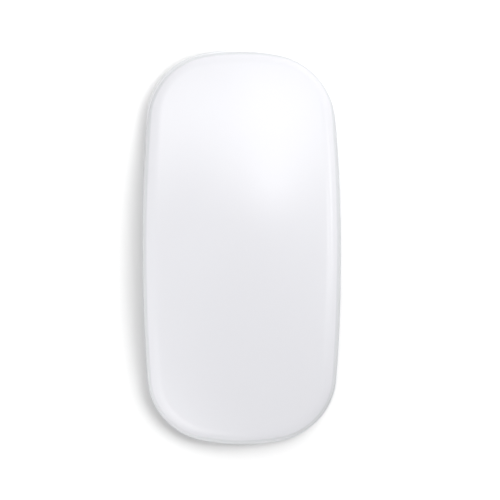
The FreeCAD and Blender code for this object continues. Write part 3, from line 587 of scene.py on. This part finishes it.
def mark_edge(piece, sizes):
    """Stores how far in from the side each point lies, in millimetres."""
    places = outline(sizes, SHELL_SPACING)
    lines = [(point - way * sizes.shell_inset, way) for point, way in places]
    layer = piece.data.attributes.new("from_edge", "FLOAT", "POINT")
    for index, vertex in enumerate(piece.data.vertices):
        flat = vertex.co.to_2d()
        layer.data[index].value = min((wall - flat).dot(way) for wall, way in lines) / MM


# Finishes of single pieces
def gloss_shell(sizes, colours):
    """Gloss white under a clear skin, greyer where the skin runs out at the edge."""
    def paint(f):
        edge = sizes.clear_edge / MM
        blur = 0.25
        rim = 1.0 - f.attribute("from_edge").fade(edge * (1.0 - blur), edge * (1.0 + blur))
        clouds = f.noise(0.030)
        smears = f.noise(0.006, detail=4.0, stretch=(1.0, 0.4, 1.0))
        specks = f.noise(0.0004)
        white = f.mix(clouds, shade(colours.shell, 0.985), shade(colours.shell, 1.015))
        return {
            "Base Color": f.mix(rim, white, colours.clear_edge),
            "Roughness": 0.05 + smears * 0.06,
            "Normal": f.bump(specks, 0.0000004),
            "IOR": 1.49,
        }
    return surface("gloss_white_shell", paint)


def satin_aluminium(sizes, colours):
    """Bead-blasted and anodised aluminium, with a polished cut edge along the seam whose lighter colour is a
    painted highlight, and painted shade on that edge and on the metal below it at the front left.
    """
    cut_band = (-0.0008, -0.0006)
    near_band = (-0.004, -0.001)
    front_left_band = (0.03, 0.078)
    # Shares of painted shade at the front left: on the cut edge, and on the metal just below the seam.
    cut_painted_shade = 0.17
    near_painted_shade = 0.26

    def paint(f):
        x, y, z = f.axes()
        half = sizes.length / 2
        arch = (sizes.seam_middle - sizes.seam_end) * (1.0 - y * y / half ** 2)
        below_seam = z - arch - sizes.seam_end
        cut = below_seam.fade(*cut_band)
        near = below_seam.fade(*near_band)
        front_left = (y - x).fade(*front_left_band)
        blasted = f.noise(0.00012)
        clouds = f.noise(0.012, detail=3.0)
        satin = f.mix(clouds * 0.5 + blasted * 0.5, shade(colours.metal, 0.94), shade(colours.metal, 1.04))
        # The cut edge is polished, with lower roughness, and its colour is painted 1.3 times lighter as a
        # painted highlight standing in for its glint.
        bright = f.mix(cut, satin, shade(colours.metal, 1.3))
        # Painted shade: towards the front left, the cut edge and the metal just below the seam are mixed
        # towards black.
        painted_shade = cut * cut_painted_shade + near * near_painted_shade
        return {
            "Base Color": f.mix(front_left * painted_shade, bright, BLACK),
            "Roughness": 0.50 + blasted * 0.12 - cut * 0.15,
            "Metallic": 1.0,
            "Normal": f.bump(blasted, 0.0000025),
        }
    return surface("satin_aluminium", paint)


def circuit_board(colours):
    """Solder mask with tracks below it and small plated holes."""
    # Waves of the tracks, in radians to a metre: close together over one way and long over the other.
    track_close, track_long = 5200.0, 1100.0
    cross_close, cross_long = 4300.0, 900.0
    hole_spacing = 0.0032

    def paint(f):
        x, y = f.axes()[:2]
        drift = f.noise(0.009, detail=0.0) * 9.0
        tracks = ((x * track_close + drift).wave() * (y * track_long).wave()).fade(0.55, 0.7)
        cross = ((y * cross_close + drift).wave() * (x * cross_long).wave()).fade(0.6, 0.75)
        copper = tracks.largest(cross)
        holes = 1.0 - f.cells(hole_spacing).fade(0.09, 0.13)
        weave = f.noise(0.0005)
        mask = f.mix(copper, shade(colours.board, 0.95), colours.trace)
        return {
            "Base Color": f.mix(holes, mask, colours.gold),
            "Roughness": 0.28 + weave * 0.14,
            "Metallic": holes,
            "Normal": f.bump(copper + weave * 0.2, 0.00003),
        }
    return surface("circuit_board", paint)


def flat_cable(colours):
    """Polyimide ribbon with parallel copper conductors."""
    waves = 8400.0

    def paint(f):
        x = f.axes()[0]
        lines = (x * waves).wave().fade(-0.1, 0.3)
        grain = f.noise(0.0006)
        return {
            "Base Color": f.mix(lines * 0.7 + grain * 0.1, shade(colours.flex, 0.75), colours.flex),
            "Roughness": 0.25 + grain * 0.15,
            "Normal": f.bump(lines, 0.00002),
        }
    return surface("flat_cable", paint)


def touch_film(colours):
    """Sensor film with a fine grid of electrodes."""
    waves = 1250.0

    def paint(f):
        x, y = f.axes()[:2]
        across = (x * waves).wave().absolute()
        along = (y * waves).wave().absolute()
        grid = 1.0 - (across * along).fade(0.06, 0.16)
        grain = f.noise(0.0008)
        return {
            "Base Color": f.mix(grid * 0.8 + grain * 0.1, colours.film, shade(colours.gold, 0.7)),
            "Roughness": 0.30 + grain * 0.15,
            "Normal": f.bump(grid, 0.00001),
        }
    return surface("touch_film", paint)


def pouch(colours):
    """Laminated foil pouch, lightly creased."""
    def paint(f):
        creases = f.noise(0.007, detail=5.0)
        fine = f.noise(0.0009, detail=3.0)
        return {
            "Base Color": f.mix(creases, shade(colours.cell, 0.85), shade(colours.cell, 1.12)),
            "Roughness": 0.38 + fine * 0.18,
            "Metallic": 0.85,
            "Normal": f.bump(creases + fine * 0.15, 0.0003),
        }
    return surface("pouch_foil", paint)


def foam(colours):
    """Open-cell foam tape."""
    def paint(f):
        pores = f.cells(0.0005)
        return {
            "Base Color": f.mix(pores.fade(0.1, 0.6), shade(colours.pad, 0.5), shade(colours.pad, 1.2)),
            "Roughness": 0.85 + pores * 0.1,
            "Normal": f.bump(pores, 0.0001),
        }
    return surface("foam_pad", paint)


def clear_plastic(name, colour):
    """Clear moulded plastic with faint flow lines."""
    def paint(f):
        flow = f.noise(0.0008, detail=3.0, stretch=(1.0, 0.3, 1.0))
        return {
            "Base Color": f.mix(flow, shade(colour, 0.96), colour),
            "Roughness": 0.03 + flow * 0.05,
            "Transmission Weight": 1.0,
            "IOR": 1.49,
            "Normal": f.bump(flow, 0.000002),
        }
    return surface(name, paint)


def dark_window(colours):
    """Near-black acrylic with faint wipe marks."""
    def paint(f):
        wipes = f.noise(0.0011, detail=4.0, stretch=(0.25, 1.0, 1.0))
        return {
            "Base Color": f.mix(wipes * 0.6, colours.window, shade(colours.window, 1.6)),
            "Roughness": 0.08 + wipes * 0.08,
            "IOR": 1.42,
            "Normal": f.bump(wipes, 0.0000008),
        }
    return surface("dark_window", paint)


def glide_plastic(colours):
    """Dense slippery plastic, burnished along the way the mouse travels."""
    def paint(f):
        rubs = f.noise(0.0005, detail=4.0, stretch=(1.0, 0.08, 1.0))
        specks = f.noise(0.0002)
        wear = rubs * 0.6 + specks * 0.4
        return {
            "Base Color": f.mix(wear, shade(colours.glide, 0.8), shade(colours.glide, 1.5)),
            "Roughness": 0.42 + rubs * 0.2,
            "Normal": f.bump(rubs + specks * 0.4, 0.000006),
        }
    return surface("glide_plastic", paint)


# Operators, in the order that main calls them
class MOUSE_OT_top_shell(bpy.types.Operator):
    """Makes the one-piece gloss shell"""

    bl_idname = "mouse.top_shell"
    bl_label = "Top shell"

    def execute(self, context):
        sizes = context.scene.mouse_sizes
        material = gloss_shell(sizes, context.scene.mouse_colours)
        piece = make_piece("shell_cover", build_shell(sizes), material, "shell", ["top_shell"])
        mark_edge(piece, sizes)
        return {"FINISHED"}


class MOUSE_OT_touch_layer(bpy.types.Operator):
    """Finishes the touch film, its flat cable and connector"""

    bl_idname = "mouse.touch_layer"
    bl_label = "Touch layer"

    def execute(self, context):
        colours = context.scene.mouse_colours
        dress("touch_film", touch_film(colours))
        dress("touch_flex", flat_cable(colours))
        dress("flex_connector", connector_plastic(colours))
        return {"FINISHED"}


class MOUSE_OT_frame_parts(bpy.types.Operator):
    """Finishes the carrier and the two brackets"""

    bl_idname = "mouse.frame_parts"
    bl_label = "Carrier and brackets"

    def execute(self, context):
        colours = context.scene.mouse_colours
        dress("inner_frame", moulded("carrier_plastic", colours.frame_black, roughness=0.5))
        bracket = moulded("bracket_plastic", colours.bracket, roughness=0.5, grain=0.0003)
        dress("front_bracket", bracket)
        dress("rear_bracket", bracket)
        return {"FINISHED"}


class MOUSE_OT_steel_parts(bpy.types.Operator):
    """Finishes the hinge pins, leaf springs and screws"""

    bl_idname = "mouse.steel_parts"
    bl_label = "Pins, springs and screws"

    def execute(self, context):
        colours = context.scene.mouse_colours
        across = (0.08, 1.0, 1.0)
        dress("hinge_pins", brushed("ground_steel", colours.steel, roughness=0.25, stretch=across))
        dress("return_springs", brushed("spring_steel", colours.spring_steel, roughness=0.32, stretch=across))
        even = (1.0, 1.0, 1.0)
        screws = brushed("blackened_steel", colours.screw, roughness=0.4, stretch=even, grain=0.00015)
        dress("frame_screws", screws)
        dress("board_screws", screws)
        return {"FINISHED"}


class MOUSE_OT_base_shell(bpy.types.Operator):
    """Finishes the metal base"""

    bl_idname = "mouse.base_shell"
    bl_label = "Base"

    def execute(self, context):
        scene = context.scene
        dress("base_shell", satin_aluminium(scene.mouse_sizes, scene.mouse_colours))
        return {"FINISHED"}


class MOUSE_OT_glides(bpy.types.Operator):
    """Makes the two glide strips"""

    bl_idname = "mouse.glides"
    bl_label = "Glides"

    def execute(self, context):
        sizes = context.scene.mouse_sizes
        material = glide_plastic(context.scene.mouse_colours)
        spacing = 0.002
        for side in ("right", "left"):
            node = f"{side}_runner"
            low, high, middle, width, depth = span(node)
            places = edge_profile(low.z, sizes.glide_rounding) + [(0.0, high.z)]
            build = build_trim(middle, width, depth, width / 2, places, spacing)
            make_piece(f"{side}_glide", build, material, "base", [node])
        return {"FINISHED"}


class MOUSE_OT_board(bpy.types.Operator):
    """Finishes the circuit board and the parts soldered on it"""

    bl_idname = "mouse.board"
    bl_label = "Circuit board"

    def execute(self, context):
        colours = context.scene.mouse_colours
        dress("main_board", circuit_board(colours))
        dress("board_chips", chip_case(colours))
        dress("rf_shield", brushed("tinned_sheet", colours.tin, roughness=0.3))
        dress("antenna", moulded("antenna_ceramic", colours.antenna, roughness=0.3, grain=0.0004))
        return {"FINISHED"}


class MOUSE_OT_click_switch(bpy.types.Operator):
    """Finishes the click switch"""

    bl_idname = "mouse.click_switch"
    bl_label = "Click switch"

    def execute(self, context):
        colours = context.scene.mouse_colours
        dress("click_switch_housing", switch_plastic(colours))
        plunger = moulded("plunger_plastic", colours.plunger, roughness=0.3, grain=0.0002)
        dress("click_switch_plunger", plunger)
        terminal = brushed("brass_terminal", colours.brass, roughness=0.3, stretch=(1.0, 1.0, 0.1))
        dress("click_switch_terminals", terminal)
        return {"FINISHED"}


class MOUSE_OT_optics(bpy.types.Operator):
    """Makes the sensor's window and finishes the sensor and its lens"""

    bl_idname = "mouse.optics"
    bl_label = "Sensor"

    def execute(self, context):
        sizes = context.scene.mouse_sizes
        colours = context.scene.mouse_colours
        dress("sensor_chip", chip_case(colours))
        dress("sensor_lens", clear_plastic("lens_acrylic", colours.lens))
        flange = 0.0008
        corner = 0.002
        low, high, middle, width, depth = span("sensor_window", flange)
        shoulder = low.z + SHOULDER
        places = edge_profile(low.z, sizes.trim_rounding)
        places += [(0.0, shoulder), (-flange, shoulder), (-flange, high.z)]
        build = build_trim(middle, width, depth, corner, places)
        make_piece("sensor_pane", build, dark_window(colours), "base", ["sensor_window"])
        return {"FINISHED"}


class MOUSE_OT_power_switch(bpy.types.Operator):
    """Makes the ridged knob and finishes its switch and the green mark"""

    bl_idname = "mouse.power_switch"
    bl_label = "Power switch"

    def execute(self, context):
        sizes = context.scene.mouse_sizes
        colours = context.scene.mouse_colours
        dress("power_switch_housing", switch_plastic(colours))
        mark = moulded("on_mark", colours.mark, roughness=0.4, grain=0.0002, relief=0.000004)
        dress("power_on_mark", mark)
        low, high, middle, width, depth = span("power_knob")
        corner = 0.001
        plate = 0.0008
        stem = 0.0012
        stem_corner = 0.0001
        overlap = 0.0001
        pitch = 0.0011
        grooves = 3
        groove_depth = 0.00025
        groove_reach = 0.00026
        spacing = 0.00008
        columns = 10

        def relief(x, y):
            """Height of the knob's face, with grooves that run across it."""
            across = abs((y - middle.y) / pitch - round((y - middle.y) / pitch)) * pitch
            in_row = abs(y - middle.y) < grooves / 2 * pitch
            share = max(0.0, 1.0 - (across / groove_reach) ** 2) if in_row else 0.0
            return low.z + groove_depth * share ** 0.5

        def build(shape):
            rings = []
            for inset, z in edge_profile(low.z, sizes.trim_rounding, 3):
                points = rounded(middle, width, depth, corner, inset, z, spacing)
                for point in points:
                    point.z = max(relief(point.x, point.y), point.z)
                rings.append(points)
            rings.append(rounded(middle, width, depth, corner, 0.0, low.z + plate, spacing))
            made = [ring(shape, points) for points in rings]
            for first, second in zip(made, made[1:]):
                bridge(shape, first, second)
            fill_across(shape, made[0], columns, relief)
            shape.faces.new(made[-1])
            stack(shape, [rounded(middle, stem, stem, stem_corner, 0.0, z)
                          for z in (low.z + plate - overlap, high.z)])

        material = moulded("knob_plastic", colours.knob, roughness=0.38, grain=0.00016, relief=0.000005)
        make_piece("ridged_knob", build, material, "knob", ["power_knob"], smooth_angle=50.0)
        return {"FINISHED"}


class MOUSE_OT_status_light(bpy.types.Operator):
    """Makes the light pipe and finishes the light"""

    bl_idname = "mouse.status_light"
    bl_label = "Status light"

    def execute(self, context):
        colours = context.scene.mouse_colours
        lens = moulded("led_lens", colours.light, roughness=0.2, grain=0.0002, relief=0.000002)
        dress("status_led", lens)
        rod = 0.0012
        rounding = 0.00025
        low, high, middle, width, _ = span("light_pipe")
        flange = (width - rod) / 2
        shoulder = low.z + SHOULDER
        places = edge_profile(low.z, rounding, flatness=0.5)
        places += [(0.0, shoulder), (-flange, shoulder), (-flange, high.z)]
        build = build_trim(middle, rod, rod, rod / 2, places)
        material = clear_plastic("light_guide_acrylic", colours.lens)
        make_piece("light_guide", build, material, "base", ["light_pipe"])
        return {"FINISHED"}


class MOUSE_OT_charge_port(bpy.types.Operator):
    """Makes the charging port's ring, socket and contacts"""

    bl_idname = "mouse.charge_port"
    bl_label = "Charging port"
    spacing = 0.001

    def execute(self, context):
        sizes = context.scene.mouse_sizes
        colours = context.scene.mouse_colours
        tongue = moulded("tongue_plastic", colours.chip, roughness=0.4, grain=0.0001, relief=0.000003)
        dress("charge_port_tongue", tongue)
        self.ring_trim(sizes, colours)
        self.socket(colours)
        self.contacts(colours)
        return {"FINISHED"}

    def ring_trim(self, sizes, colours):
        flange = 0.0007
        ring_width = 0.0009
        low, high, middle, width, depth = span("port_bezel", flange)
        shoulder = low.z + SHOULDER
        bend = edge_profile(low.z, sizes.trim_rounding, 4)
        places = bend + [(0.0, shoulder), (-flange, shoulder), (-flange, high.z), (ring_width, high.z)]
        places += [(ring_width - inset, z) for inset, z in reversed(bend)]
        build = build_trim(middle, width, depth, depth / 2, places, self.spacing, closed=True)
        material = moulded("ring_plastic", colours.trim, roughness=0.3, grain=0.0002, relief=0.000003)
        make_piece("port_ring", build, material, "base", ["port_bezel"])

    def socket(self, colours):
        flange = 0.001
        flange_thick = 0.0004
        wall = 0.0003
        low, high, middle, width, depth = span("charge_port_shell", flange)
        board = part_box("main_board")[1].z
        lip = wall / 2
        near = lip * 0.3
        far = lip * 0.7
        places = [(wall, high.z - wall), (wall, low.z + lip)]
        places += [(lip + far, low.z + near), (lip, low.z), (near, low.z + near), (0.0, low.z + lip)]
        places += [(0.0, board), (-flange, board)]
        places += [(-flange, board + flange_thick), (0.0, board + flange_thick), (0.0, high.z)]
        build = build_trim(middle, width, depth, depth / 2, places, self.spacing)
        material = brushed("drawn_steel", colours.steel, roughness=0.28, stretch=(1.0, 1.0, 0.08))
        make_piece("port_socket", build, material, "base", ["charge_port_shell"])

    def contacts(self, colours):
        low, high, middle, width, _ = span("charge_port_tongue")
        count = 8
        margin = 0.0006
        pitch = (width - margin) / count
        broad = pitch * 0.55
        thick = 0.00008
        corner = 0.00003
        ends = (low.z + 0.0004, high.z - 0.0006)

        def build(shape):
            for number in range(count):
                x = middle.x + (number - (count - 1) / 2) * pitch
                for face in (low.y, high.y):
                    place = Vector((x, face, 0.0))
                    stack(shape, [rounded(place, broad, thick, corner, 0.0, z) for z in ends])

        material = brushed("gold_plate", colours.gold, roughness=0.2, stretch=(1.0, 1.0, 0.1))
        piece = make_piece("port_contacts", build, material, "base", [])


class MOUSE_OT_battery(bpy.types.Operator):
    """Finishes the battery, its pad, protection board, lead and plug"""

    bl_idname = "mouse.battery"
    bl_label = "Battery"

    def execute(self, context):
        colours = context.scene.mouse_colours
        dress("battery_pack", pouch(colours))
        dress("battery_pad", foam(colours))
        dress("battery_protection_board", circuit_board(colours))
        dress("battery_tab", brushed("nickel_lead", colours.tin, roughness=0.3, stretch=(1.0, 0.1, 1.0)))
        dress("battery_connector", connector_plastic(colours))
        return {"FINISHED"}


class MOUSE_OT_stage(bpy.types.Operator):
    """Makes the floor, the lights and the camera"""

    bl_idname = "mouse.stage"
    bl_label = "Stage"
    far_grey = 0.84

    def execute(self, context):
        self.world(context.scene)
        self.floor(context.scene)
        # Tilt and bearing are in degrees, width and height in metres.
        for name, tilt, bearing, width, height, brightness in (
            ("key_light", 35.0, 14.0, 1.5, 1.2, 2.75),
            ("top_light", 22.0, 30.0, 0.5, 0.5, 1.10),
            ("front_left_light", 48.0, 318.0, 1.0, 0.9, 1.91),
            ("right_light", 50.0, 88.0, 1.4, 0.6, 1.92),
            ("low_right_light", 72.0, 80.0, 1.3, 0.35, 2.60),
            ("rear_left_light", 66.0, 213.0, 1.6, 1.2, 1.55),
            ("rear_light", 60.0, 205.0, 0.8, 0.6, 1.06),
            ("right_edge_light", 88.0, 86.0, 1.5, 0.6, 4.0),
            ("rear_edge_light", 86.0, 213.0, 2.0, 1.5, 2.33),
            ("front_edge_light", 80.0, 24.0, 1.5, 0.9, 2.93),
            ("front_left_edge_light", 76.0, 322.0, 1.2, 0.6, 1.6),
            ("left_edge_light", 82.0, 292.0, 1.5, 0.7, 1.62),
            ("under_light", 150.0, 20.0, 1.6, 1.6, 1.0),
        ):
            lamp = self.soft_box(context.scene, name, tilt, bearing, width, height, brightness)
            # The lamps at the horizon would flood the crown's reflections when seen from low down.
            lamp.visible_glossy = not name.endswith("edge_light")
        floor_only = bpy.data.collections.new("floor_only")
        floor_only.objects.link(bpy.data.objects["floor"])
        for name, tilt, bearing, width, height, brightness in (
            ("floor_light", 20.0, 66.0, 0.8, 0.8, 10.1),
            ("floor_right_light", 30.0, 88.0, 0.6, 0.6, 1.74),
        ):
            lamp = self.soft_box(context.scene, name, tilt, bearing, width, height, brightness)
            lamp.light_linking.receiver_collection = floor_only
        self.camera(context.scene)
        return {"FINISHED"}

    def world(self, scene):
        world = bpy.data.worlds.new("studio")
        world.use_nodes = True
        scene.world = world
        f = Finish(world.node_tree)
        ambient = 0.31
        camera, mirrored = f.looks()
        strength = ambient + camera.largest(mirrored) * (self.far_grey - ambient)
        background = f.node("ShaderNodeBackground", {}, {"Color": WHITE, "Strength": strength})
        f.end("ShaderNodeOutputWorld", background)

    def floor(self, scene):
        reach = 3.0
        # Squares of the distances between which the floor turns to plain grey.
        near_square, far_square = 0.012, 0.04
        mesh = bpy.data.meshes.new("floor")
        corners = [(-reach, -reach, 0.0), (reach, -reach, 0.0), (reach, reach, 0.0), (-reach, reach, 0.0)]
        mesh.from_pydata(corners, [], [(0, 1, 2, 3)])
        floor = bpy.data.objects.new("floor", mesh)
        scene.collection.objects.link(floor)
        material = bpy.data.materials.new("studio_floor")
        material.use_nodes = True
        f = Finish(material.node_tree)
        camera, mirrored = f.looks()
        from_below = f.output(f.node("ShaderNodeNewGeometry", {}, {}), "Backfacing")
        fibres = f.noise(0.004, detail=3.0)
        colour = f.mix(fibres, shade(scene.mouse_colours.floor, 0.995), scene.mouse_colours.floor)
        x, y = f.axes()[:2]
        away = (x * x + y * y).fade(near_square, far_square)
        lit = f.node("ShaderNodeBsdfDiffuse", {}, {"Color": colour})
        glow = f.node("ShaderNodeEmission", {}, {"Color": WHITE, "Strength": self.far_grey})
        white = f.node("ShaderNodeMixShader", {}, {
            0: away.largest(mirrored), 1: f.output(lit, "BSDF"), 2: f.output(glow, "Emission")})
        clear = f.node("ShaderNodeBsdfTransparent", {}, {})
        shown = f.node("ShaderNodeMixShader", {}, {
            0: camera.largest(mirrored) * (1.0 - from_below),
            1: f.output(clear, "BSDF"), 2: f.output(white, "Shader")})
        f.end("ShaderNodeOutputMaterial", shown)
        mesh.materials.append(material)

    def soft_box(self, scene, name, tilt, bearing, width, height, brightness):
        """Lamp a metre off that fades to its rim, tilted from straight above towards a bearing."""
        lamp = bpy.data.lights.new(name, "AREA")
        lamp.shape = "RECTANGLE"
        lamp.size = width
        lamp.size_y = height
        # With this energy, the emission's strength is the lamp's own brightness.
        lamp.energy = math.pi * width * height
        lamp.use_nodes = True
        f = Finish(lamp.node_tree)
        spot = f.output(f.node("ShaderNodeNewGeometry", {}, {}), "Parametric")
        split = f.node("ShaderNodeSeparateXYZ", {}, {"Vector": spot})
        across = (f.output(split, "X") - 0.5).absolute().fade(0.5, 0.0)
        along = (f.output(split, "Y") - 0.5).absolute().fade(0.5, 0.0)
        strength = across * along * brightness
        glow = f.node("ShaderNodeEmission", {}, {"Color": WHITE, "Strength": strength})
        f.end("ShaderNodeOutputLight", glow)
        holder = bpy.data.objects.new(name, lamp)
        down = math.radians(tilt)
        turn = math.radians(bearing)
        way = Vector((math.sin(down) * math.sin(turn), math.sin(down) * math.cos(turn), math.cos(down)))
        holder.location = way
        holder.rotation_euler = (-way).to_track_quat("-Z", "Y").to_euler()
        scene.collection.objects.link(holder)
        return holder

    def camera(self, scene):
        """Straight down on the mouse through a long lens, framed as the photograph is."""
        frame_width = 0.1437
        frame_middle = (0.00237, -0.00081)
        level = 0.007
        lens = bpy.data.cameras.new("camera")
        lens.lens = 400.0
        lens.sensor_width = 36.0
        camera = bpy.data.objects.new("camera", lens)
        distance = frame_width * lens.lens / lens.sensor_width
        camera.location = (*frame_middle, level + distance)
        lens.clip_start = 0.01
        lens.clip_end = 20.0
        scene.collection.objects.link(camera)
        scene.camera = camera
        scene.view_settings.view_transform = "Standard"


class MOUSE_PT_pieces(bpy.types.Panel):
    """Lists the pieces, their sizes and their colours"""

    bl_label = "Wireless Mouse"
    bl_idname = "MOUSE_PT_pieces"
    bl_space_type = "VIEW_3D"
    bl_region_type = "UI"
    bl_category = "Mouse"

    def draw(self, context):
        column = self.layout.column()
        for step in STEPS:
            column.operator(step.bl_idname)
        for name in ("mouse_sizes", "mouse_colours"):
            group = getattr(context.scene, name)
            for key in group.__annotations__:
                column.prop(group, key)


STEPS = (
    MOUSE_OT_top_shell,
    MOUSE_OT_touch_layer,
    MOUSE_OT_frame_parts,
    MOUSE_OT_steel_parts,
    MOUSE_OT_base_shell,
    MOUSE_OT_glides,
    MOUSE_OT_board,
    MOUSE_OT_click_switch,
    MOUSE_OT_optics,
    MOUSE_OT_power_switch,
    MOUSE_OT_status_light,
    MOUSE_OT_charge_port,
    MOUSE_OT_battery,
    MOUSE_OT_stage,
)
CLASSES = (MouseSizes, MouseColours) + STEPS + (MOUSE_PT_pieces,)


def register():
    for made in CLASSES:
        bpy.utils.register_class(made)
    bpy.types.Scene.mouse_sizes = bpy.props.PointerProperty(type=MouseSizes)
    bpy.types.Scene.mouse_colours = bpy.props.PointerProperty(type=MouseColours)


def unregister():
    del bpy.types.Scene.mouse_colours
    del bpy.types.Scene.mouse_sizes
    for made in reversed(CLASSES):
        bpy.utils.unregister_class(made)


def main():
    register()
    bpy.ops.mouse.top_shell()
    bpy.ops.mouse.touch_layer()
    bpy.ops.mouse.frame_parts()
    bpy.ops.mouse.steel_parts()
    bpy.ops.mouse.base_shell()
    bpy.ops.mouse.glides()
    bpy.ops.mouse.board()
    bpy.ops.mouse.click_switch()
    bpy.ops.mouse.optics()
    bpy.ops.mouse.power_switch()
    bpy.ops.mouse.status_light()
    bpy.ops.mouse.charge_port()
    bpy.ops.mouse.battery()
    bpy.ops.mouse.stage()


if __name__ == "__main__":
    main()
